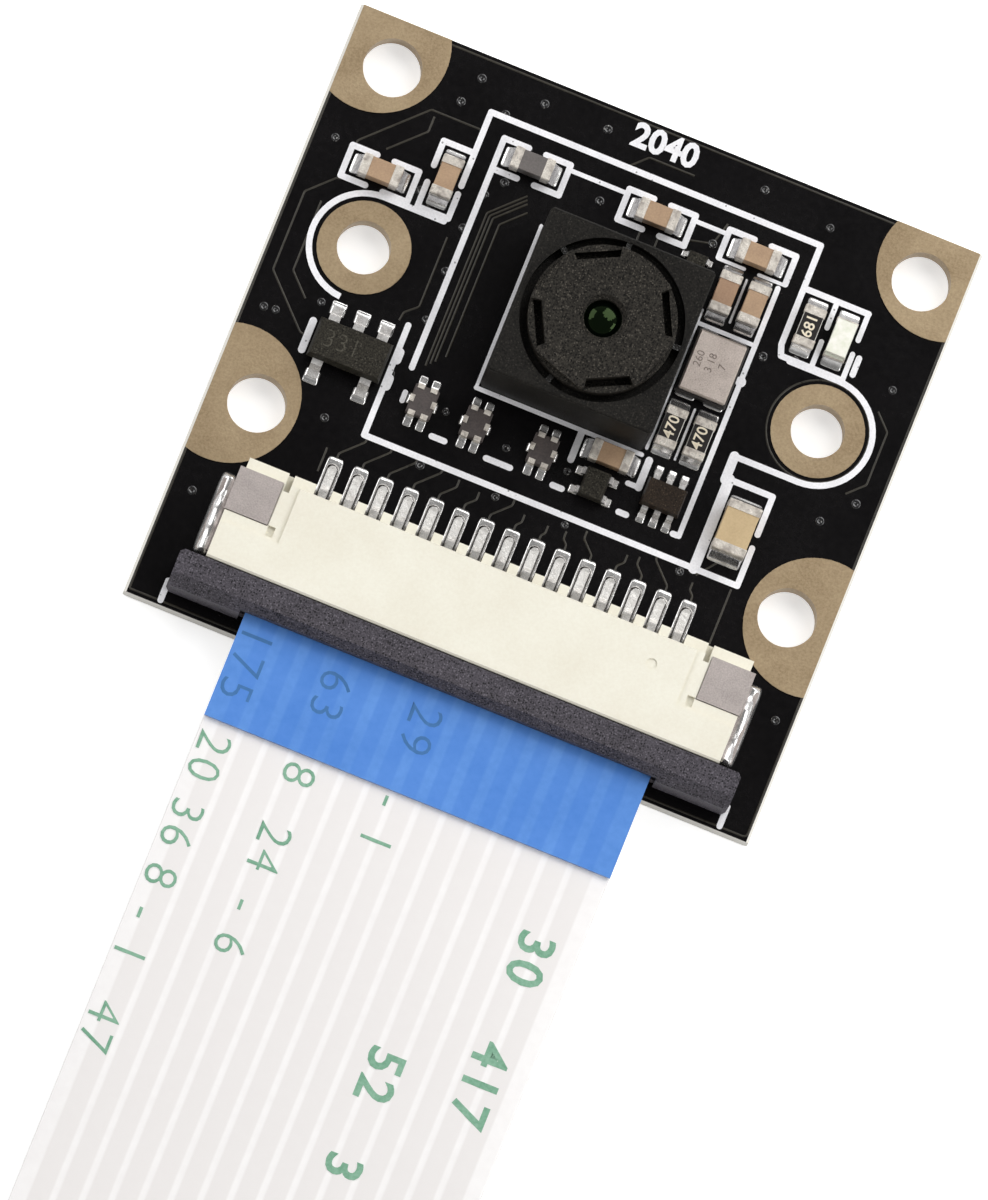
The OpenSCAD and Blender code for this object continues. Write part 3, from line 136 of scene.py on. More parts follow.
def makeLights():
    for name, (turn, height, distance, side, share) in lights.items():
        turn, height = math.radians(turn), math.radians(height)
        toward = Vector((math.sin(turn) * math.cos(height), -math.cos(turn) * math.cos(height),
                         math.sin(height)))
        lamp = bpy.data.lights.new(name, "AREA")
        lamp.size = side * mm
        lamp.energy = share * fullLight * (distance * mm) ** 2 / math.sin(height)
        holder = addObject(name, lamp)
        holder.location = (aim + distance * toward) * mm
        holder.rotation_euler = toward.to_track_quat("Z", "Y").to_euler()


room = {"horizon": 0.85, "zenith": 0.26, "from": 0.35, "to": 0.88}


def seenRays(tree):
    # 1 for rays that the eye follows: straight to the camera, by a gloss or through glass
    path = tree.nodes.new("ShaderNodeLightPath").outputs
    either = worked(tree, "MAXIMUM", path["Is Camera Ray"], path["Is Glossy Ray"])
    return worked(tree, "MAXIMUM", either, path["Is Transmission Ray"])


def makeRoom():
    world = bpy.data.worlds.new("studio")
    scene.world = world
    world.use_nodes = True
    tree = world.node_tree
    tree.nodes.clear()
    coordinate = tree.nodes.new("ShaderNodeTexCoord")
    split = tree.nodes.new("ShaderNodeSeparateXYZ")
    tree.links.new(coordinate.outputs["Generated"], split.inputs[0])
    height = addNode(tree, "ShaderNodeMapRange", {
        "From Min": room["from"], "From Max": room["to"],
        "To Min": room["horizon"], "To Max": room["zenith"],
    }, interpolation_type="SMOOTHSTEP")
    tree.links.new(split.outputs["Z"], height.inputs["Value"])
    path = tree.nodes.new("ShaderNodeLightPath")
    strength = addNode(tree, "ShaderNodeMix", {3: 1})
    tree.links.new(path.outputs["Is Camera Ray"], strength.inputs[0])
    tree.links.new(height.outputs[0], strength.inputs[2])
    glow = tree.nodes.new("ShaderNodeBackground")
    tree.links.new(strength.outputs[0], glow.inputs["Strength"])
    end = tree.nodes.new("ShaderNodeOutputWorld")
    tree.links.new(glow.outputs[0], end.inputs["Surface"])


floorLook = {"half": 3000, "level": -0.02, "colour": (0.8, 0.8, 0.8, 1), "glow": 0.55,
             "rough": 0.9, "specular": 0.1}


def makeFloor():
    half = floorLook["half"] * mm
    level = floorLook["level"] * mm
    mesh = bpy.data.meshes.new("floor")
    mesh.from_pydata([(-half, -half, level), (half, -half, level), (half, half, level),
                      (-half, half, level)], [], [(0, 1, 2, 3)])
    material = bpy.data.materials.new("paleFloor")
    material.use_nodes = True
    tree = material.node_tree
    shader = tree.nodes["Principled BSDF"]
    setInputs(shader, {
        "Base Color": floorLook["colour"], "Roughness": floorLook["rough"],
        "Specular IOR Level": floorLook["specular"], "Emission Color": (1, 1, 1, 1),
    })
    glow = worked(tree, "MULTIPLY", seenRays(tree), floorLook["glow"])
    tree.links.new(glow, shader.inputs["Emission Strength"])
    mesh.materials.append(material)
    addObject("floor", mesh)


makeCamera()
makeLights()
makeRoom()
makeFloor()
scene.view_settings.view_transform = "Standard"
print("camera, floor and lights are in place")


# materials

def linear(code):
    # a colour written as six hexadecimal digits, as the linear values that shaders take
    parts = [int(code[i:i + 2], 16) / 255 for i in (0, 2, 4)]
    return (*(c / 12.92 if c <= 0.04045 else ((c + 0.055) / 1.055) ** 2.4 for c in parts), 1)


def newTree(kind, name, inputs, outputs):
    # a node tree with its sockets: name, type and, where there is one, the usual value
    tree = bpy.data.node_groups.new(name, kind)
    for side, sockets in (("INPUT", inputs), ("OUTPUT", outputs)):
        for title, sort, *value in sockets:
            socket = tree.interface.new_socket(name=title, in_out=side, socket_type="NodeSocket" + sort)
            if value:
                socket.default_value = value[0]
    return tree, tree.nodes.new("NodeGroupInput"), tree.nodes.new("NodeGroupOutput")


noiseRange = {"From Min": 0.32, "From Max": 0.68}  # where nearly all of a noise texture's values lie


def makeGrainGroup():
    # fine grain and wide patches between two colours, with a roughness and a relief to match
    group, start, end = newTree("ShaderNodeTree", "surfaceGrain", [
        ("Vector", "Vector"),
        ("Colour", "Color", (0.5, 0.5, 0.5, 1)), ("Second Colour", "Color", (0.4, 0.4, 0.4, 1)),
        ("Grain Scale", "Float", 10000.0), ("Grain Share", "Float", 0.5),
        ("Patch Scale", "Float", 500.0), ("Patch Share", "Float", 0.3),
        ("Smoothest", "Float", 0.4), ("Roughest", "Float", 0.6), ("Relief", "Float", 0.2),
        ("Relief Height", "Float", 0.00002),
    ], [("Colour", "Color"), ("Roughness", "Float"), ("Normal", "Vector")])
    link, given = group.links.new, start.outputs
    grain = addNode(group, "ShaderNodeTexNoise", {"Detail": 3, "Roughness": 0.6})
    patch = addNode(group, "ShaderNodeTexNoise", {"Detail": 2, "Roughness": 0.5})
    for texture, title in ((grain, "Grain Scale"), (patch, "Patch Scale")):
        link(given["Vector"], texture.inputs["Vector"])
        link(given[title], texture.inputs["Scale"])
    parts = []
    for texture, title in ((grain, "Grain Share"), (patch, "Patch Share")):
        spread = addNode(group, "ShaderNodeMapRange", noiseRange)
        link(texture.outputs["Fac"], spread.inputs["Value"])
        parts.append(worked(group, "MULTIPLY", spread.outputs[0], given[title]))
    total = worked(group, "ADD", *parts)
    total.node.use_clamp = True
    mix = addNode(group, "ShaderNodeMix", data_type="RGBA")
    rough = addNode(group, "ShaderNodeMapRange")
    bump = addNode(group, "ShaderNodeBump")
    for title, socket in (
        ("Colour", mix.inputs[6]), ("Second Colour", mix.inputs[7]),
        ("Smoothest", rough.inputs["To Min"]), ("Roughest", rough.inputs["To Max"]),
        ("Relief", bump.inputs["Strength"]), ("Relief Height", bump.inputs["Distance"]),
    ):
        link(given[title], socket)
    link(total, mix.inputs[0])
    link(total, rough.inputs["Value"])
    link(grain.outputs["Fac"], bump.inputs["Height"])
    link(mix.outputs[2], end.inputs["Colour"])
    link(rough.outputs[0], end.inputs["Roughness"])
    link(bump.outputs[0], end.inputs["Normal"])
    return group


def makeBandGroup():
    # soft bands along Y, one for each conductor of the ribbon
    group, start, end = newTree("ShaderNodeTree", "conductorBands", [
        ("Vector", "Vector"), ("Pitch", "Float", 0.001), ("Middle", "Float", 0.0),
        ("Band Width", "Float", 0.7), ("Outermost", "Float", 0.0075),
    ], [("Mask", "Float")])
    link, given = group.links.new, start.outputs
    split = addNode(group, "ShaderNodeSeparateXYZ")
    link(given["Vector"], split.inputs[0])
    shift = worked(group, "SUBTRACT", split.outputs["X"], given["Middle"])
    half = worked(group, "MULTIPLY", given["Pitch"], 0.5)
    fold = worked(group, "PINGPONG", shift, half)
    share = worked(group, "DIVIDE", fold, half)  # 0 on a conductor, 1 between two
    softness = 0.12
    edge = addNode(group, "ShaderNodeMapRange", {"To Min": 1, "To Max": 0}, interpolation_type="SMOOTHSTEP")
    link(share, edge.inputs["Value"])
    link(worked(group, "SUBTRACT", given["Band Width"], softness), edge.inputs["From Min"])
    link(worked(group, "ADD", given["Band Width"], softness), edge.inputs["From Max"])
    within = worked(group, "LESS_THAN", worked(group, "ABSOLUTE", shift), given["Outermost"])
    link(worked(group, "MULTIPLY", edge.outputs[0], within), end.inputs["Mask"])
    return group


def makeFleckGroup():
    # scattered bright flecks, such as dust, fibres in a resin or sparkle on a metal, and the painted glints
    # on the vias
    group, start, end = newTree("ShaderNodeTree", "flecks", [
        ("Vector", "Vector"), ("Scale", "Float", 9000.0), ("Size", "Float", 0.16),
        ("Share", "Float", 0.3),
    ], [("Mask", "Float")])
    link, given = group.links.new, start.outputs
    cells = addNode(group, "ShaderNodeTexVoronoi")
    link(given["Vector"], cells.inputs["Vector"])
    link(given["Scale"], cells.inputs["Scale"])
    near = worked(group, "LESS_THAN", cells.outputs["Distance"], given["Size"])
    pick = addNode(group, "ShaderNodeSeparateColor")
    link(cells.outputs["Color"], pick.inputs[0])
    chosen = worked(group, "LESS_THAN", pick.outputs[0], given["Share"])
    link(worked(group, "MULTIPLY", near, chosen), end.inputs["Mask"])
    return group


grainGroup = makeGrainGroup()
bandGroup = makeBandGroup()
fleckGroup = makeFleckGroup()

# one entry for each finish: two colours, the grain's size in mm and its share, the patches' size
# and share, smoothest and roughest, relief, and what else the shader takes
finishes = {
    "board_mask": dict(colours=("070607", "0e0c0d"), grain=(0.25, 0.5), patch=(3, 0.5),
                       rough=(0.2, 0.3), relief=0.05, specular=0.13),
    "gold_plating": dict(colours=("b29e80", "907d62"), grain=(0.09, 0.5), patch=(1.6, 0.5),
                         rough=(0.42, 0.58), relief=0.25, metallic=0.9),
    "white_ink": dict(colours=("f8f7f9", "cfced2"), grain=(0.08, 0.4), patch=(0.9, 0.3),
                      rough=(0.55, 0.7), relief=0.3),
    "solder": dict(colours=("f1f0ee", "b4b1b0"), grain=(0.22, 0.45), patch=(0.5, 0.45),
                   rough=(0.14, 0.34), relief=0.12, metallic=0.92),
    "holder_black": dict(colours=("050505", "24221f"), grain=(0.07, 0.9), patch=(2.5, 0.35),
                         rough=(0.4, 0.6), relief=0.8, specular=0.1),
    "barrel_black": dict(colours=("050404", "36332e"), grain=(0.065, 1.0), patch=(1.4, 0.15),
                         rough=(0.4, 0.62), relief=0.8, specular=0.1),
    "lens_glass": dict(colours=("020503", "040a06"), grain=(0.4, 0.3), patch=(1, 0.3),
                       rough=(0.02, 0.05), relief=0, transmission=0.2, ior=1.4, tint="b2da90"),
    "spacer_black": dict(colours=("0c0c0c", "151515"), grain=(0.08, 0.5), patch=(1, 0.3),
                         rough=(0.5, 0.7), relief=0.3),
    "clear_glue": dict(colours=("2a2826", "131211"), grain=(0.12, 0.6), patch=(0.3, 0.4),
                       rough=(0.12, 0.25), relief=0.6, transmission=0.3),
    "filter_glass": dict(colours=("6f9aa0", "7fb0b0"), grain=(0.4, 0.3), patch=(1, 0.3),
                         rough=(0.02, 0.06), relief=0, transmission=0.8),
    "sensor_glass": dict(colours=("8fb5ab", "9fc0b8"), grain=(0.4, 0.3), patch=(1, 0.3),
                         rough=(0.02, 0.06), relief=0, transmission=0.8),
    "sensor_silicon": dict(colours=("39423e", "4c5650"), grain=(0.05, 0.4), patch=(0.8, 0.3),
                           rough=(0.25, 0.4), relief=0.1, metallic=0.4),
    "housing_cream": dict(colours=("e9e6d8", "ddd7c6"), grain=(0.12, 0.35), patch=(2.2, 0.4),
                          rough=(0.4, 0.52), relief=0.12, specular=0.35),
    "slider_grey": dict(colours=("171518", "565259"), grain=(0.07, 1.0), patch=(0.9, 0.2),
                        rough=(0.5, 0.7), relief=0.8, specular=0.2),
    "contact_tin": dict(colours=("fbf9f5", "b0aca8"), grain=(0.16, 0.45), patch=(0.4, 0.45),
                        rough=(0.2, 0.36), relief=0.15, metallic=0.55),
    "clip_tin": dict(colours=("c0b6b2", "9e9692"), grain=(0.06, 0.6), patch=(0.8, 0.4),
                     rough=(0.4, 0.54), relief=0.4, metallic=0.7),
    "ribbon_film": dict(colours=("f4f2f1", "ebe8e7"), grain=(0.5, 0.4), patch=(6, 0.4),
                        rough=(0.3, 0.42), relief=0.04, specular=0.4),
    "stiffener_blue": dict(colours=("4f83cd", "6094dc"), grain=(0.3, 0.4), patch=(3, 0.5),
                           rough=(0.3, 0.42), relief=0.06, specular=0.4),
    "finger_tin": dict(colours=("d8d4ca", "b8b3a6"), grain=(0.1, 0.4), patch=(1, 0.4),
                       rough=(0.22, 0.36), relief=0.2, metallic=1),
    "capacitor_tan": dict(colours=("b49677", "957960"), grain=(0.07, 0.45), patch=(0.6, 0.35),
                          rough=(0.42, 0.56), relief=0.3),
    "capacitor_brown": dict(colours=("a38368", "886b53"), grain=(0.07, 0.45), patch=(0.6, 0.35),
                            rough=(0.42, 0.56), relief=0.3),
    "bulk_tan": dict(colours=("c6ae86", "b09872"), grain=(0.08, 0.45), patch=(0.8, 0.35),
                     rough=(0.42, 0.56), relief=0.3),
    "bead_grey": dict(colours=("6c6663", "524d4b"), grain=(0.07, 0.5), patch=(0.6, 0.3),
                      rough=(0.42, 0.56), relief=0.3),
    "end_cap_tin": dict(colours=("fdf6ea", "9c938b"), grain=(0.12, 0.4), patch=(0.3, 0.7),
                        rough=(0.2, 0.42), relief=0.3, metallic=0.4),
    "resistor_ceramic": dict(colours=("eeece6", "dedad2"), grain=(0.07, 0.4), patch=(0.5, 0.3),
                             rough=(0.5, 0.65), relief=0.3),
    "resistor_coat": dict(colours=("151211", "231e1c"), grain=(0.06, 0.5), patch=(0.4, 0.3),
                          rough=(0.35, 0.5), relief=0.3, specular=0.3),
    "lamp_base": dict(colours=("e4e6da", "ccd0c0"), grain=(0.08, 0.4), patch=(0.4, 0.3),
                      rough=(0.4, 0.5), relief=0.2),
    "lamp_clear": dict(colours=("fdfaf2", "e3e6d2"), grain=(0.2, 0.4), patch=(0.4, 0.5),
                       rough=(0.12, 0.22), relief=0.1, transmission=0.05),
    "filter_dark": dict(colours=("373130", "524946"), grain=(0.06, 0.7), patch=(0.4, 0.3),
                        rough=(0.42, 0.58), relief=0.4),
    "oscillator_base": dict(colours=("1b1817", "292523"), grain=(0.08, 0.5), patch=(0.6, 0.3),
                            rough=(0.4, 0.55), relief=0.3),
    "oscillator_lid": dict(colours=("d2c6bd", "ab9f97"), grain=(0.05, 0.6), patch=(0.7, 0.4),
                           rough=(0.34, 0.5), relief=0.4, metallic=0.75),
    "package_grey": dict(colours=("070605", "39362f"), grain=(0.065, 1.0), patch=(0.8, 0.15),
                         rough=(0.45, 0.62), relief=0.6, specular=0.1),
    "package_brown": dict(colours=("080504", "33281e"), grain=(0.065, 1.0), patch=(0.6, 0.15),
                          rough=(0.42, 0.6), relief=0.6, specular=0.15),
    "lead_tin": dict(colours=("f7f5f2", "a29d9a"), grain=(0.12, 0.45), patch=(0.3, 0.5),
                     rough=(0.18, 0.34), relief=0.3, metallic=0.6),
}


reliefShare = 0.25  # height of the relief as a share of the grain's size


def makeFinish(name, look):
    # the shared shader of every finish; the finishes with a pattern of their own add to it
    material = bpy.data.materials.new(name)
    material.use_nodes = True
    tree = material.node_tree
    shader = tree.nodes["Principled BSDF"]
    setInputs(shader, {
        "Metallic": look.get("metallic", 0), "Specular IOR Level": look.get("specular", 0.5),
        "Transmission Weight": look.get("transmission", 0), "IOR": look.get("ior", 1.5),
        "Specular Tint": linear(look.get("tint", "ffffff")),
    })
    coordinate = addNode(tree, "ShaderNodeTexCoord")
    grain = addNode(tree, "ShaderNodeGroup", {
        "Colour": linear(look["colours"][0]), "Second Colour": linear(look["colours"][1]),
        "Grain Scale": 1 / (look["grain"][0] * mm), "Grain Share": look["grain"][1],
        "Patch Scale": 1 / (look["patch"][0] * mm), "Patch Share": look["patch"][1],
        "Smoothest": look["rough"][0], "Roughest": look["rough"][1],
        "Relief": look["relief"], "Relief Height": reliefShare * look["grain"][0] * mm,
    }, node_tree=grainGroup)
    tree.links.new(coordinate.outputs["Object"], grain.inputs["Vector"])
    tree.links.new(grain.outputs["Colour"], shader.inputs["Base Color"])
    tree.links.new(grain.outputs["Roughness"], shader.inputs["Roughness"])
    tree.links.new(grain.outputs["Normal"], shader.inputs["Normal"])
    return material


def mixInto(tree, mask, code):
    # lays one more colour over what feeds the shader, where the mask is 1
    colour = tree.nodes["Principled BSDF"].inputs["Base Color"]
    mix = addNode(tree, "ShaderNodeMix", {7: linear(code)}, data_type="RGBA")
    tree.links.new(mask, mix.inputs[0])
    tree.links.new(colour.links[0].from_socket, mix.inputs[6])
    tree.links.new(mix.outputs[2], colour)


def objectPlace(tree):
    return next(n for n in tree.nodes if n.bl_idname == "ShaderNodeTexCoord").outputs["Object"]


def addFlecks(material, code, scale, size, share, strength):
    tree = material.node_tree
    specks = addNode(tree, "ShaderNodeGroup", {"Scale": 1 / (scale * mm), "Size": size, "Share": share},
                     node_tree=fleckGroup)
    tree.links.new(objectPlace(tree), specks.inputs["Vector"])
    mixInto(tree, worked(tree, "MULTIPLY", specks.outputs["Mask"], strength), code)


def addBands(material, code, width, strength):
    tree = material.node_tree
    outermost = ribbon["pitch"] * ribbon["conductors"] / 2
    bands = addNode(tree, "ShaderNodeGroup", {
        "Pitch": ribbon["pitch"] * mm, "Middle": ribbonMiddle * mm, "Band Width": width,
        "Outermost": outermost * mm,
    }, node_tree=bandGroup)
    tree.links.new(objectPlace(tree), bands.inputs["Vector"])
    mixInto(tree, worked(tree, "MULTIPLY", bands.outputs["Mask"], strength), code)


laminate = {"colour": "e2dfd8", "rough": 0.8, "steepest": 0.95}


def addLaminate(material):
    # the glass-fibre edge of the board, bare between the two masked faces
    tree = material.node_tree
    shader = tree.nodes["Principled BSDF"]
    normal = addNode(tree, "ShaderNodeNewGeometry")
    split = addNode(tree, "ShaderNodeSeparateXYZ")
    tree.links.new(normal.outputs["True Normal"], split.inputs[0])
    side = worked(tree, "LESS_THAN", worked(tree, "ABSOLUTE", split.outputs["Z"]), laminate["steepest"])
    mixInto(tree, side, laminate["colour"])
    rough = addNode(tree, "ShaderNodeMix", {3: laminate["rough"]})
    tree.links.new(side, rough.inputs[0])
    tree.links.new(shader.inputs["Roughness"].links[0].from_socket, rough.inputs[2])
    tree.links.new(rough.outputs[0], shader.inputs["Roughness"])


ribbon = {
    "pitch": 1.0,
    "conductors": 15,
    "thickness": 0.13,
    "bulge": 0.016,
    # the swell over a conductor: distance from its middle, and share of the bulge
    "swell": [(-0.42, 0), (-0.33, 0.55), (-0.22, 1), (0.22, 1), (0.33, 0.55), (0.42, 0)],
    "side": [(0, 0.3), (0.03, 0.75)],  # the rounded side edge: distance in, and share of the thickness
    "flank": 0.08,  # where the side edge has reached the full thickness
    # distance past the end of the near stiffener, and the share of the exit's height kept there
    "sag": [(0, 1), (3, 0.99), (6, 0.95), (9, 0.87), (12, 0.76), (15, 0.62), (18, 0.48),
            (21, 0.34), (24, 0.22), (27, 0.12), (30, 0.05), (33, 0.01), (36, 0)],
    "steps": 6,  # from one knot of the sag to the next
    "length": 150.0,
}
ribbonLow, ribbonHigh = boxOf("ribbon_cable")
ribbonMiddle = (ribbonLow.x + ribbonHigh.x) / 2
ribbonWidth = ribbonHigh.x - ribbonLow.x

# flecks in a finish: colour, width of a cell in mm, size and share of the flecks, strength
flecks = [
    ("barrel_black", "5d5850", 0.08, 0.38, 0.3, 0.5),
    ("barrel_black", "020202", 0.09, 0.4, 0.4, 0.8),
    ("holder_black", "3c3934", 0.08, 0.36, 0.3, 0.5),
    ("slider_grey", "77727a", 0.08, 0.38, 0.35, 0.5),
    ("slider_grey", "08080a", 0.09, 0.4, 0.35, 0.8),
    ("package_grey", "55524a", 0.08, 0.36, 0.25, 0.5),
    ("package_brown", "4e4234", 0.08, 0.36, 0.25, 0.5),
    ("white_ink", "4a4a48", 0.16, 0.24, 0.08, 0.7),
    ("oscillator_lid", "7d736c", 0.12, 0.2, 0.15, 0.5),
]

materials = {name: makeFinish(name, look) for name, look in finishes.items()}
addLaminate(materials["board_mask"])
addBands(materials["ribbon_film"], "e2dedc", 0.76, 0.7)
addBands(materials["stiffener_blue"], "3f78cc", 0.6, 0.4)
for finish, *look in flecks:
    addFlecks(materials[finish], *look)

for part in frame["record"]["subparts"]:
    mesh = nodes[part["node"]].data
    mesh.materials.clear()
    mesh.materials.append(materials[part["material_slot"]])
print("finishes are on the frame's parts")


# ribbon cable

def addPiece(name, mesh, finish, replaced=(), body=mainBody, material=None):
    # links a mesh whose place is in its points, gives it its finish and lets it ride
    piece = addObject(name, mesh)
    mesh.materials.clear()
    mesh.materials.append(material or materials[finish])
    if replaced:
        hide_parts(*replaced)
    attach(piece, body)
    return piece


def meshOf(name, points, faces):
    mesh = bpy.data.meshes.new(name)
    mesh.from_pydata([Vector(p) * mm for p in points], [], faces)
    mesh.validate()
    return mesh


def ribbonRoute():
    # y and z of the ribbon's underside in mm, from inside the connector to the far end
    stiffLow = boxOf("near_stiffener")[0]
    rest = ribbonLow.z
    top = stiffLow.z - ribbon["thickness"]
    knots = [(ribbonHigh.y, top)]
    knots += [(stiffLow.y - gone, rest + (top - rest) * share) for gone, share in ribbon["sag"]]
    knots.append((ribbonLow.y, rest))
    return knots


def smoothRoute(knots, steps):
    # a curve through the knots that doesn't overshoot between them
    slopes = []
    for i in range(len(knots)):
        a, b = knots[max(i - 1, 0)], knots[min(i + 1, len(knots) - 1)]
        flat = i in (0, len(knots) - 1) or knots[i - 1][1] == knots[i][1] or knots[i][1] == knots[i + 1][1]
        slopes.append(0 if flat else (b[1] - a[1]) / (b[0] - a[0]))
    line = []
    for (a, b), slopeA, slopeB in zip(zip(knots, knots[1:]), slopes, slopes[1:]):
        span = b[0] - a[0]
        for step in range(steps):
            t = step / steps
            height = ((2 * t ** 3 - 3 * t ** 2 + 1) * a[1] + (t ** 3 - 2 * t ** 2 + t) * span * slopeA
                      + (3 * t ** 2 - 2 * t ** 3) * b[1] + (t ** 3 - t ** 2) * span * slopeB)
            line.append((a[0] + t * span, height))
    return line + [knots[-1]]


ribbonLine = smoothRoute(ribbonRoute(), ribbon["steps"])


def ribbonLevel(y):
    # height of the ribbon's underside at a given y, in mm
    for (y0, z0), (y1, z1) in zip(ribbonLine, ribbonLine[1:]):
        if y1 <= y <= y0:
            return z0 + (z1 - z0) * (y0 - y) / (y0 - y1)
    return ribbonLine[-1][1]


def ribbonSection():
    # outline across the ribbon: film that swells over each conductor, with rounded side edges
    half = ribbonWidth / 2
    thick, bulge = ribbon["thickness"], ribbon["bulge"]
    plain = thick - bulge
    side = [(half - inward, share * thick) for inward, share in ribbon["side"]]
    side.append((half - ribbon["flank"], plain))
    upper = [(-x, z) for x, z in side]
    for i in range(ribbon["conductors"]):
        middle = (i - (ribbon["conductors"] - 1) / 2) * ribbon["pitch"]
        upper += [(middle + offset, plain + lift * bulge) for offset, lift in ribbon["swell"]]
    upper += reversed(side)
    under = half - ribbon["side"][1][0]
    return upper + [(under, 0), (-under, 0)]


def makeRibbon():
    section = ribbonSection()
    count = len(section)
    points = [(ribbonMiddle + x, y, z + h) for y, z in ribbonLine for x, h in section]
    faces = []
    for row in range(len(ribbonLine) - 1):
        for i in range(count):
            a, b = row * count + i, row * count + (i + 1) % count
            faces.append((a, b, b + count, a + count))
    faces.append(tuple(range(count)))
    faces.append(tuple(reversed(range(len(points) - count, len(points)))))
    mesh = meshOf("ribbonFilm", points, faces)
    for face in mesh.polygons:
        face.use_smooth = len(face.vertices) == 4
    shape = bmesh.new()
    shape.from_mesh(mesh)
    bmesh.ops.recalc_face_normals(shape, faces=shape.faces)
    shape.to_mesh(mesh)
    shape.free()
    film = addPiece("ribbonFilm", mesh, "ribbon_film", ["ribbon_cable"])


makeRibbon()
print("ribbon cable is made")


# solder

solder = {
    "step": 0.03,  # mm between the points of a joint's surface
    "fewest": 6,  # steps across a small one
    "thickness": 0.04,
    "corner": 0.1,
    "rounding": 8,  # how late a pad's sides bend towards a corner
    "rim": 9,  # how steeply a joint rises from its pad's edge
    "waviness": 0.007,
    "chip": (0.55, 0.3),  # share of the metal's height that is climbed, and reach of the fillet
    "lead": (0.1, 0.13),
    "flat": (0, 1),
    "hollow": 1.8,  # how hollow a fillet is
    "groove": (0.025, 0.085),  # where the groove round a contact's tail, painted dark as shade, starts and ends
    "collar": 0.12,  # height of the solder against the tail
    "border": (0.06, 0.02, 0.03),  # outside the groove: height, where it starts to rise, how fast
    "bead": 0.42,  # height of the bead over a clip's foot
    "beadSwell": (0.8, 0.5, 1.3),  # its least share, how uneven it is and how often
    "beadLean": (0.75, 0.7),  # how far it leans on the clip, and how full it is
    "grain": 3,  # of the waviness
    "apart": 50,  # mm between the waves of two pads, at most
    "seed": 4,
}
chipMetal = ("capacitor_caps", "bulk_caps", "bead_caps", "resistor_caps", "lamp_caps")
leadMetal = ("regulator_leads", "transistor_leads", "shifter_leads", "clamp_leads",
             "filter_terminals")
clips = ("left_clip", "right_clip")


def islandBoxes(node):
    # boxes in mm of the separate solids in a frame node
    shape = bmesh.new()
    shape.from_mesh(nodes[node].data)
    bmesh.ops.remove_doubles(shape, verts=shape.verts, dist=0.0005 * mm)
    left = set(shape.verts)
    boxes = []
    while left:
        ring = [left.pop()]
        low, high = ring[0].co.copy(), ring[0].co.copy()
        while ring:
            point = ring.pop()
            low = Vector(map(min, low, point.co))
            high = Vector(map(max, high, point.co))
            for edge in point.link_edges:
                other = edge.other_vert(point)
                if other in left:
                    left.remove(other)
                    ring.append(other)
        boxes.append((low / mm, high / mm))
    shape.free()
    return sorted(boxes, key=lambda box: (round(box[0].x, 3), round(box[0].y, 3)))


def outside(box, x, y):
    # distance from a point to the footprint of a box, and 0 inside it
    low, high = box
    return math.hypot(max(low.x - x, x - high.x, 0), max(low.y - y, y - high.y, 0))


def smooth(value):
    value = min(1, max(0, value))
    return value * value * (3 - 2 * value)


def filletLevel(x, y, metal, kind):
    # solder that climbs the metal standing on its pad
    climb, reach = solder[kind]
    near = max(0, 1 - outside(metal, x, y) / reach)
    return solder["thickness"] + climb * (metal[1].z - metal[0].z) * near ** solder["hollow"]


def tailLevel(x, y, metal):
    # a flat border and a groove round the round-ended tail of a contact
    low, far = metal
    half = (far.x - low.x) / 2
    gap = math.hypot(x - low.x - half, max(0, y - far.y + half)) - half
    start, end = solder["groove"]
    high, early, width = solder["border"]
    inner = solder["collar"] * smooth(1 - gap / start)
    return max(inner, high * smooth((gap - end + early) / width)), start < gap < end


def beadLevel(x, y, pad):
    # a bead that covers a clip's foot, higher in some places than in others
    low, high = pad
    across = (x - low.x) / (high.x - low.x)
    across = across if low.x > 0 else 1 - across
    least, uneven, often = solder["beadSwell"]
    lean, full = solder["beadLean"]
    swell = least + uneven * noise.noise(Vector((low.x, y * often, 0)))
    return solder["bead"] * swell * math.sin(math.pi * min(1, across * lean + (1 - lean))) ** full


def jointSurface(pad, metal, kind, shift, points, faces, dark):
    # one pad with its solder; the faces in a groove go into the list of dark ones, which get painted shade
    low, high = pad
    middle, half = (low + high) / 2, (high - low) / 2
    across, along = (max(solder["fewest"], round(side / solder["step"]))
                     for side in (high.x - low.x, high.y - low.y))
    first = len(points)
    grooved = set()
    for j in range(along + 1):
        for i in range(across + 1):
            u, v = 2 * i / across - 1, 2 * j / along - 1
            x = middle.x + half.x * u * (1 - solder["corner"] * abs(v) ** solder["rounding"])
            y = middle.y + half.y * v * (1 - solder["corner"] * abs(u) ** solder["rounding"])
            rim = min(1 - abs(u), 1 - abs(v))
            if kind == "tail":
                height, deep = tailLevel(x, y, metal)
                if deep:
                    grooved.add(len(points))
            elif kind == "clip":
                height = beadLevel(x, y, pad)
            else:
                height = filletLevel(x, y, metal, kind)
            wave = noise.noise(Vector((x, y, 0)) * solder["grain"] + shift) * solder["waviness"]
            rise = min(1, rim * solder["rim"]) ** 0.5
            points.append((x, y, low.z + max(0, (height + wave) * rise)))
    row = across + 1
    for j in range(along):
        for i in range(across):
            a = first + j * row + i
            if a in grooved and a + 1 + row in grooved:
                dark.add(len(faces))
            faces.append((a, a + 1, a + 1 + row, a + row))
    border = [first + i for i in range(across)]
    border += [first + across + j * row for j in range(along)]
    border += [first + along * row + i for i in range(across, 0, -1)]
    border += [first + j * row for j in range(along, 0, -1)]
    faces.append(tuple(reversed(border)))


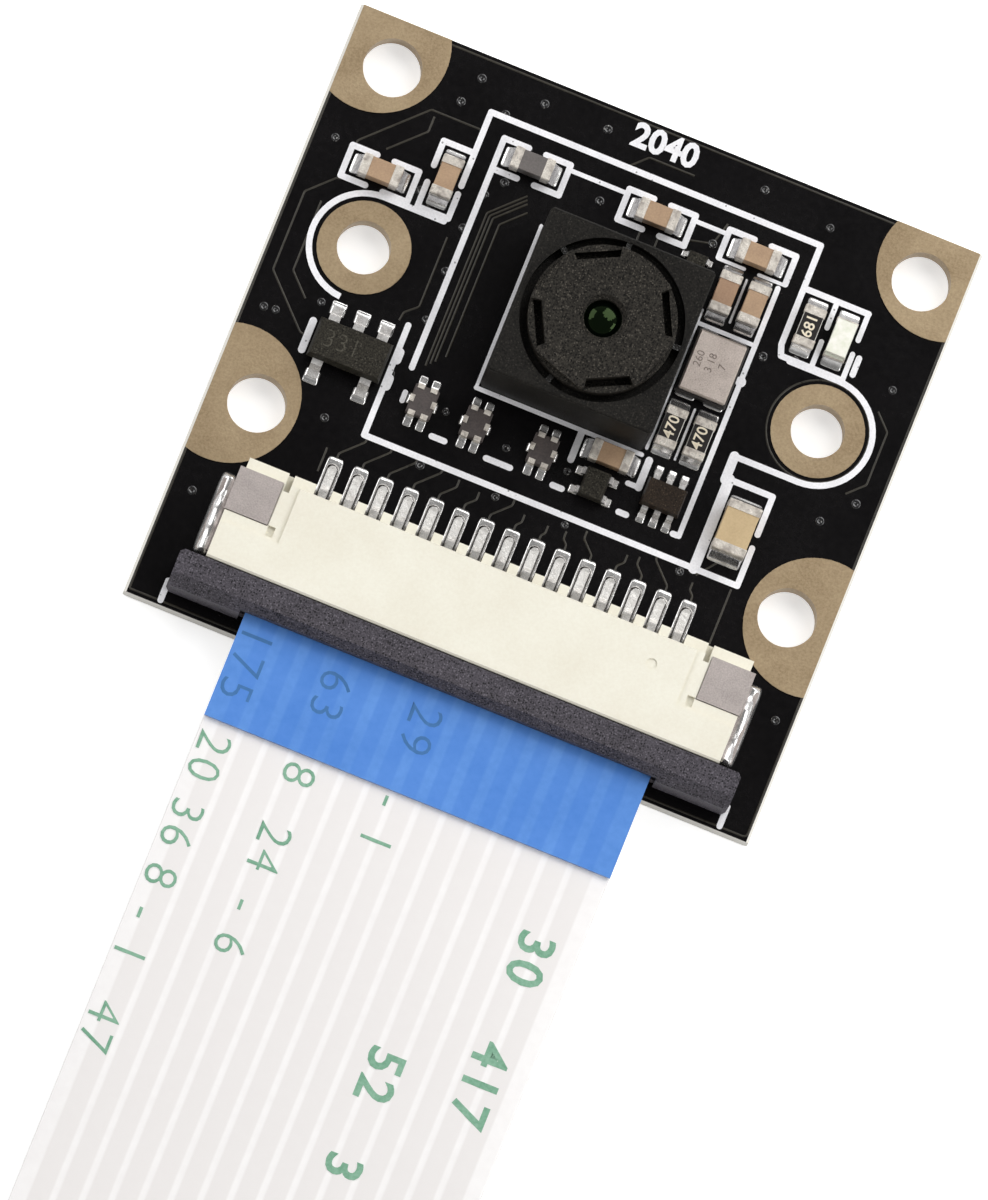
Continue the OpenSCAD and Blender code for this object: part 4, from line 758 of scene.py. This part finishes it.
def makeSolder():
    rng = random.Random(solder["seed"])
    metals = [(box, kind) for kind, names in (("chip", chipMetal), ("lead", leadMetal),
                                              ("tail", ("contact_pins",)), ("clip", clips))
              for node in names for box in islandBoxes(node)]
    points, faces, dark = [], [], set()
    for pad in islandBoxes("solder_joints"):
        metal, kind = next((item for item in metals if all(
            item[0][0][k] < pad[1][k] and pad[0][k] < item[0][1][k] for k in (0, 1))), (pad, "flat"))
        shift = Vector((rng.uniform(0, solder["apart"]), rng.uniform(0, solder["apart"]), 0))
        jointSurface(pad, metal, kind, shift, points, faces, dark)
    mesh = meshOf("solderFillets", points, faces)
    piece = addPiece("solderFillets", mesh, "solder", ["solder_joints"])
    # painted shade: a dark brown finish on the groove faces round each tail, so that the groove reads as
    # dark
    piece.data.materials.append(makeFinish("grooveShade", dict(
        finishes["board_mask"], colours=("1a1513", "2c2420"), rough=(0.15, 0.3), specular=0.4)))
    for face in mesh.polygons:
        face.use_smooth = len(face.vertices) == 4
        face.material_index = int(face.index in dark)


makeSolder()
print("solder is on the pads")


# lines, vias and numbers on the board

def shapeTree(name, inputs):
    # a Geometry Nodes tree with a mesh and a material in and a mesh out
    mesh = ("Geometry", "Geometry")
    return newTree("GeometryNodeTree", name, [mesh, *inputs, ("Material", "Material")], [mesh])


def endTree(tree, start, end, made):
    # what was made, as real points with the tree's material on them
    link = tree.links.new
    real = tree.nodes.new("GeometryNodeRealizeInstances")
    finish = tree.nodes.new("GeometryNodeSetMaterial")
    link(made, real.inputs["Geometry"])
    link(real.outputs["Geometry"], finish.inputs["Geometry"])
    link(start.outputs["Material"], finish.inputs["Material"])
    link(finish.outputs["Geometry"], end.inputs["Geometry"])


def baked(name, holder):
    # an object's own shape as a plain mesh; the object itself goes
    bpy.context.view_layer.update()
    ready = holder.evaluated_get(bpy.context.evaluated_depsgraph_get())
    made = bpy.data.meshes.new_from_object(ready)
    made.name = name
    bpy.data.objects.remove(holder)
    return made


def grow(name, mesh, tree, values):
    # runs a tree on a mesh and gives back the smooth mesh that it makes
    holder = addObject(name + "Source", mesh)
    modifier = holder.modifiers.new("grow", "NODES")
    modifier.node_group = tree
    sockets = {item.name: item.identifier for item in tree.interface.items_tree
               if item.item_type == "SOCKET" and item.in_out == "INPUT"}
    for title, value in values.items():
        modifier[sockets[title]] = value
    made = baked(name, holder)
    for face in made.polygons:
        face.use_smooth = True
    return made


def makeRidgeTree():
    # a low rounded ridge along each line of the mesh, sunk into the board's face
    tree, start, end = shapeTree("raisedLines", [
        ("Radius", "Float", 0.055 * mm), ("Sides", "Int", 10), ("Bend Radius", "Float", 0.15 * mm),
    ])
    link = tree.links.new
    curve = tree.nodes.new("GeometryNodeMeshToCurve")
    fillet = addNode(tree, "GeometryNodeFilletCurve", {"Count": 3}, mode="POLY")
    section = tree.nodes.new("GeometryNodeCurvePrimitiveCircle")
    ridge = addNode(tree, "GeometryNodeCurveToMesh", {"Fill Caps": True})
    link(start.outputs["Geometry"], curve.inputs["Mesh"])
    link(curve.outputs["Curve"], fillet.inputs["Curve"])
    link(start.outputs["Bend Radius"], fillet.inputs["Radius"])
    link(fillet.outputs["Curve"], ridge.inputs["Curve"])
    link(start.outputs["Radius"], section.inputs["Radius"])
    link(start.outputs["Sides"], section.inputs["Resolution"])
    link(section.outputs["Curve"], ridge.inputs["Profile Curve"])
    endTree(tree, start, end, ridge.outputs["Mesh"])
    return tree


def makeScatterTree():
    # a copy of one small shape on each point, each turned and sized a little differently
    tree, start, end = shapeTree("scatteredShapes", [
        ("Shape", "Object"), ("Smallest", "Float", 0.9), ("Largest", "Float", 1.1), ("Seed", "Int", 1),
    ])
    link = tree.links.new
    shape = tree.nodes.new("GeometryNodeObjectInfo")
    copies = tree.nodes.new("GeometryNodeInstanceOnPoints")
    size = addNode(tree, "FunctionNodeRandomValue", data_type="FLOAT")
    turn = addNode(tree, "FunctionNodeRandomValue", {0: (0, 0, 0), 1: (0, 0, 2 * math.pi)},
                   data_type="FLOAT_VECTOR")
    link(start.outputs["Geometry"], copies.inputs["Points"])
    link(start.outputs["Shape"], shape.inputs["Object"])
    link(shape.outputs["Geometry"], copies.inputs["Instance"])
    link(start.outputs["Smallest"], size.inputs[2])
    link(start.outputs["Largest"], size.inputs[3])
    for node in (size, turn):
        link(start.outputs["Seed"], node.inputs["Seed"])
    link(size.outputs[1], copies.inputs["Scale"])
    link(turn.outputs[0], copies.inputs["Rotation"])
    endTree(tree, start, end, copies.outputs["Instances"])
    return tree


tracks = {
    "radius": 0.055,
    "sunk": 0.036,  # how far a line's axis lies under the board's face
    "routes": [
        [(-10.6, 6.4), (-10.6, 7.0), (-8.5, 9.1), (-6.4, 9.1)],
        [(-9.5, 7.1), (-8.3, 8.3), (-8.3, 8.9)],
        [(-10.4, 5.5), (-10.8, 5.4), (-11.7, 4.5), (-11.7, 1.35), (-9.9, -0.45), (-9.7, -0.45)],
        [(-11.0, 4.4), (-11.0, 1.6), (-10.2, 0.8)],
        [(-6.2, 4.9), (-6.2, 2.1), (-6.65, 1.7), (-6.7, 1.35)],
        [(-7.3, 6.0), (-7.3, 5.7)],
        [(-7.4, -4.05), (-7.4, -5.0)],
        [(10.9, 4.9), (11.5, 4.3), (11.5, 2.2), (10.9, 1.6)],
        [(2.1, 8.2), (2.95, 8.4), (3.2, 9.3)],
        [(0.3, 7.9), (0.3, 7.2)],
        [(1.0, 7.9), (1.0, 7.2)],
        [(6.9, -3.3), (7.6, -2.4)],
        [(8.3, -3.3), (8.3, -5.5)],
        [(-1.0, 9.9), (-0.4, 10.5), (1.4, 10.5)],
    ],
    "busX": [-5.18, -5.04, -4.9, -4.6],  # the parallel lines on the left of the lens
    "busY": (0.15, 6.3),
    "busLean": 1.15,
    "busNest": (0.4, 0.6),  # how much sooner and shorter each line leans than the one before it
    # where the lines from the contacts end, and how each sets out, leans over and ends
    "fanEnds": [-5.0, -4.55, -3.7, -2.9, -2.45, -1.6, -0.3, 0.25, 1.2, 1.9, 2.6, 4.3, 4.75, 5.2, 6.9],
    "fanStart": 0.3,
    "fanStraight": 0.25,
    "fanLean": 0.75,
    "edgeGap": 0.16,  # from the board's edge to the copper that ends beside it
    "ringGap": 0.16,  # from the inner land on the right to the copper's edge round it
    "ringSteps": 48,
}


def fanRoutes():
    # lines that fan out from the contacts towards the filters and the chips before the lens
    routes = []
    for (low, high), target in zip(islandBoxes("contact_pins"), tracks["fanEnds"]):
        x = (low.x + high.x) / 2
        start = high.y + tracks["fanStart"]
        bend = start + tracks["fanStraight"]
        lean = min(abs(target - x), tracks["fanLean"])
        end = x + math.copysign(lean, target - x)
        routes.append([(x, start), (x, bend), (end, bend + lean),
                       (end, bend + lean + tracks["fanStart"])])
    return routes


def ringRoute():
    # a closed line round the inner land on the right, where the copper under the mask ends
    inner = [land for land in islandBoxes("mounting_lands") if land[1].x < boardHigh.x - 1]
    low, high = inner[-1]
    middle = (low + high) / 2
    radius = (high.x - low.x) / 2 + tracks["ringGap"]
    turns = [2 * math.pi * i / tracks["ringSteps"] for i in range(tracks["ringSteps"] + 1)]
    return [(middle.x + radius * math.cos(a), middle.y + radius * math.sin(a)) for a in turns]


def edgeRoute():
    # a line just inside the board's edge, where the copper under the mask ends
    gap = tracks["edgeGap"]
    left, right, near, far = boardLow.x + gap, boardHigh.x - gap, boardLow.y + gap, boardHigh.y - gap
    return [(left, near), (right, near), (right, far), (left, far), (left, near)]


def makeTracks():
    routes = tracks["routes"] + fanRoutes() + [ringRoute(), edgeRoute()]
    for x in tracks["busX"]:
        out = x - tracks["busX"][0]
        sooner, shorter = (share * out for share in tracks["busNest"])
        top = tracks["busY"][1] - sooner
        routes.append([(x, tracks["busY"][0] + out), (x, top),
                       (x + tracks["busLean"] - shorter, top + tracks["busLean"] - shorter)])
    points, edges = [], []
    for route in routes:
        edges += [(len(points) + i, len(points) + i + 1) for i in range(len(route) - 1)]
        points += [Vector((x, y, boardTop - tracks["sunk"])) * mm for x, y in route]
    lines = bpy.data.meshes.new("trackLines")
    lines.from_pydata(points, edges, [])
    mesh = grow("trackRidges", lines, makeRidgeTree(), {
        "Radius": tracks["radius"] * mm, "Material": trackFinish})
    addPiece("trackRidges", mesh, "board_mask", material=trackFinish)


vias = {
    "radius": 0.17,
    "hole": 0.07,
    "height": 0.022,
    "sunk": 0.01,
    "steps": 16,
    "places": [
        (-7.2, 10.9), (-4.7, 10.9), (-2.2, 10.9), (-7.6, 9.8), (-5.9, 9.97), (-11.4, 6.8),
        (-5.5, 6.9), (-7.75, 6.15), (-6.45, 6.15), (-5.8, 5.45), (-5.8, 3.7), (-5.8, 1.75),
        (-9.6, 0.9), (-11.5, -0.05), (-11.05, 0), (-7.9, -3.05), (-3.85, -1.15), (-1.3, -1.55),
        (-1.5, 8.3), (2.95, 8.4), (4.0, 11.0), (6.75, 10.6), (11.1, 5.85), (11.4, 1.4),
        (6.2, 5.2), (9.25, 6.15), (7.35, 5.5), (7.45, 1.33), (-6.25, -0.6), (6.7, -2.5),
        (1.1, -1.5), (-1.0, -3.4), (1.75, -3.4), (6.3, -3.4), (-4.0, -3.35), (-11.4, -7.4),
        (11.6, -7.2), (-5, 7.6), (10.4, 0.3),
    ],
}


def ringShape(name, outline, steps):
    # turns an outline of radius and height about Z
    points = [(r * math.cos(2 * math.pi * i / steps), r * math.sin(2 * math.pi * i / steps), z)
              for i in range(steps) for r, z in outline]
    count = len(outline)
    faces = []
    for i in range(steps):
        a, b = i * count, (i + 1) % steps * count
        for k in range(count):
            n = (k + 1) % count
            faces.append((a + k, b + k, b + n, a + n))
    return meshOf(name, points, faces)


def makeVias():
    outer, inner, high, sunk = (vias[key] for key in ("radius", "hole", "height", "sunk"))
    # radius and height, from the rim under the board's face over the ring and into its hole
    outline = [(outer, -sunk), (outer, 0.3 * high), (0.8 * outer, high), (1.3 * inner, high),
               (inner, 0.4 * high), (0.3 * inner, 0.12 * high), (0.3 * inner, -sunk)]
    shape = addObject("viaShape", ringShape("viaShape", outline, vias["steps"]))
    dots = bpy.data.meshes.new("viaDots")
    dots.from_pydata([Vector((x, y, boardTop)) * mm for x, y in vias["places"]], [], [])
    mesh = grow("viaRings", dots, makeScatterTree(), {"Shape": shape, "Seed": 3, "Material": viaFinish})
    bpy.data.objects.remove(shape)
    addPiece("viaRings", mesh, "board_mask", material=viaFinish)


digitShare = 0.72  # height of a digit as a share of the font's size


def digitMesh(name, text, height, bold, depth, spacing=1.0):
    # digits as a mesh in mm, with their middle at the origin
    curve = bpy.data.curves.new(name, "FONT")
    curve.body = text
    curve.size = height / digitShare
    curve.offset = bold
    curve.extrude = depth / 2
    curve.resolution_u = 3
    curve.align_x = "CENTER"
    curve.align_y = "CENTER"
    curve.space_character = spacing
    return baked(name, addObject(name, curve))


def joined(name, parts):
    # several meshes, each with a function that gives a point its place in mm, as one mesh
    points, faces = [], []
    for mesh, place in parts:
        first = len(points)
        points += [place(point.co) for point in mesh.vertices]
        faces += [tuple(first + i for i in face.vertices) for face in mesh.polygons]
    return meshOf(name, points, faces)


def turnedPlace(x, y, z, turn):
    c, s = math.cos(math.radians(turn)), math.sin(math.radians(turn))
    return lambda p: (x + c * p.x - s * p.y, y + s * p.x + c * p.y, z + p.z)


marks = {
    "board": {"text": "2040", "height": 0.92, "bold": 0.045, "depth": 0.03, "place": (0, 11.1)},
    "codes": {"resistor_1": "470", "resistor_2": "470", "resistor_3": "681"},
    "code": {"height": 0.42, "bold": 0.008},
    "lid": {"height": 0.3, "bold": 0, "rows": ["260", "3 18", "7"], "gap": 0.46, "margin": 0.34,
            "shift": 0.1},
    "regulator": {"height": 0.72, "bold": -0.02, "text": "331", "shift": -0.35},
    "depth": 0.008,  # of the digits on a chip
    "level": 0.003,  # of their middle over the chip
}


def chipMark(text, look, x, y, z, turn):
    # the digits on a chip, and a function that puts them in their place
    digits = digitMesh("mark", text, look["height"], look["bold"], marks["depth"])
    return digits, turnedPlace(x, y, z + marks["level"], turn)


def makeNumbers():
    board = marks["board"]
    digits = digitMesh("boardNumber", board["text"], board["height"], board["bold"], board["depth"])
    place = turnedPlace(*board["place"], boardTop + board["depth"] / 2, 0)
    addPiece("boardNumber", joined("boardNumber", [(digits, place)]), "white_ink")
    coatTop = boxOf("resistor_coats")[1].z
    codes = []
    for node, text in marks["codes"].items():
        low, high = boxOf(node)
        middle = (low + high) / 2
        codes.append(chipMark(text, marks["code"], middle.x, middle.y, coatTop, 90))
    addPiece("resistorCodes", joined("resistorCodes", codes), "white_ink", material=codeFinish)
    lid = marks["lid"]
    low, high = boxOf("oscillator_lid")
    rows = [chipMark(text, lid, low.x + lid["margin"] + i * lid["gap"],
                     (low.y + high.y) / 2 + lid["shift"], high.z, 90)
            for i, text in enumerate(lid["rows"])]
    addPiece("lidNumbers", joined("lidNumbers", rows), "oscillator_lid", material=lidFinish)
    number = marks["regulator"]
    low, high = boxOf("regulator_body")
    middle = (low + high) / 2
    digits = chipMark(number["text"], number, middle.x + number["shift"], middle.y, high.z, 0)
    addPiece("regulatorNumber", joined("regulatorNumber", [digits]), "package_grey",
             material=regulatorFinish)


# the mask over the tracks is lighter than the board: partly its own tone over the copper, partly painted
# highlight for the light that the ridges' edges catch
trackFinish = makeFinish("maskOverTracks", dict(finishes["board_mask"], colours=("24211b", "37332a"),
                                                rough=(0.25, 0.4), specular=0.4))
viaFinish = makeFinish("maskOverVias", dict(finishes["board_mask"], colours=("0b0a0b", "1a191a"),
                                            rough=(0.1, 0.2), specular=0.8))
# painted glints: pale flecks on the vias stand in for light caught by the slopes of their rings
addFlecks(viaFinish, "8a8884", 0.09, 0.34, 0.2, 0.8)
codeFinish = makeFinish("creamCodes", dict(finishes["white_ink"], colours=("efe4cd", "cdc1a9")))
regulatorFinish = makeFinish("faintNumber", dict(finishes["package_grey"], colours=("2b2924", "56534a")))
lidFinish = makeFinish("lidNumbers", dict(finishes["oscillator_lid"], colours=("8b7f77", "766b64"),
                                          metallic=0.3))
makeTracks()
makeVias()
makeNumbers()
print("lines, vias and numbers are on the board")


# print on the ribbon

ribbonPrint = {
    "thin": dict(height=1.3, bold=-0.022),
    "thick": dict(height=1.4, bold=0.03),
    # column's x, where the word starts along Y, digits, weight
    "words": [
        (-7.25, -15.6, "20", "thin"), (-7.25, -18.3, "36", "thin"), (-7.25, -21.0, "8 - 1", "thin"),
        (-7.25, -26.2, "47", "thin"), (-3.95, -15.5, "8", "thin"), (-3.95, -17.9, "24", "thin"),
        (-3.95, -20.9, "- 6", "thin"), (-0.45, -15.5, "- 1", "thin"), (2.9, -24.0, "52", "thick"),
        (2.9, -28.2, "3", "thick"), (6.4, -18.0, "30", "thick"), (6.4, -22.3, "417", "thick"),
    ],
    "under": [
        (-7.25, -11.6, "175", "thin"), (-3.95, -11.9, "63", "thin"), (-0.45, -11.8, "29", "thin"),
    ],
    "depth": 0.02,
    "proud": 0.004,  # how far the print stands over the film
    "spacing": 1.15,
}


def alongRibbon(x, start, level):
    # digits that read along -Y, with their tops towards +X
    return lambda p: (x + p.y, start - p.x, level(start - p.x) + p.z)


def wordParts(words, level):
    parts = []
    for x, start, text, weight in words:
        look = ribbonPrint[weight]
        digits = digitMesh("word", text, look["height"], look["bold"], ribbonPrint["depth"],
                           ribbonPrint["spacing"])
        length = max(v.co.x for v in digits.vertices) - min(v.co.x for v in digits.vertices)
        parts.append((digits, alongRibbon(x, start - length / 2, level)))
    return parts


def makeRibbonPrint():
    sunk = ribbonPrint["depth"] / 2 - ribbonPrint["proud"]
    film = wordParts(ribbonPrint["words"], lambda y: ribbonLevel(y) + ribbon["thickness"] - sunk)
    stiffTop = boxOf("near_stiffener")[1].z
    under = wordParts(ribbonPrint["under"], lambda y: stiffTop - sunk)
    addPiece("ribbonPrint", joined("ribbonPrint", film), "ribbon_film", material=greenPrint)
    addPiece("printUnderStiffener", joined("printUnderStiffener", under), "stiffener_blue",
             material=bluePrint)


greenPrint = makeFinish("greenPrint", dict(colours=("619679", "86b097"), grain=(0.12, 0.7),
                                           patch=(0.8, 0.5), rough=(0.4, 0.55), relief=0.1))
bluePrint = makeFinish("bluePrint", dict(colours=("37689c", "3d73ad"), grain=(0.12, 0.5),
                                         patch=(0.8, 0.4), rough=(0.3, 0.45), relief=0.05))
makeRibbonPrint()
print("print is on the ribbon")
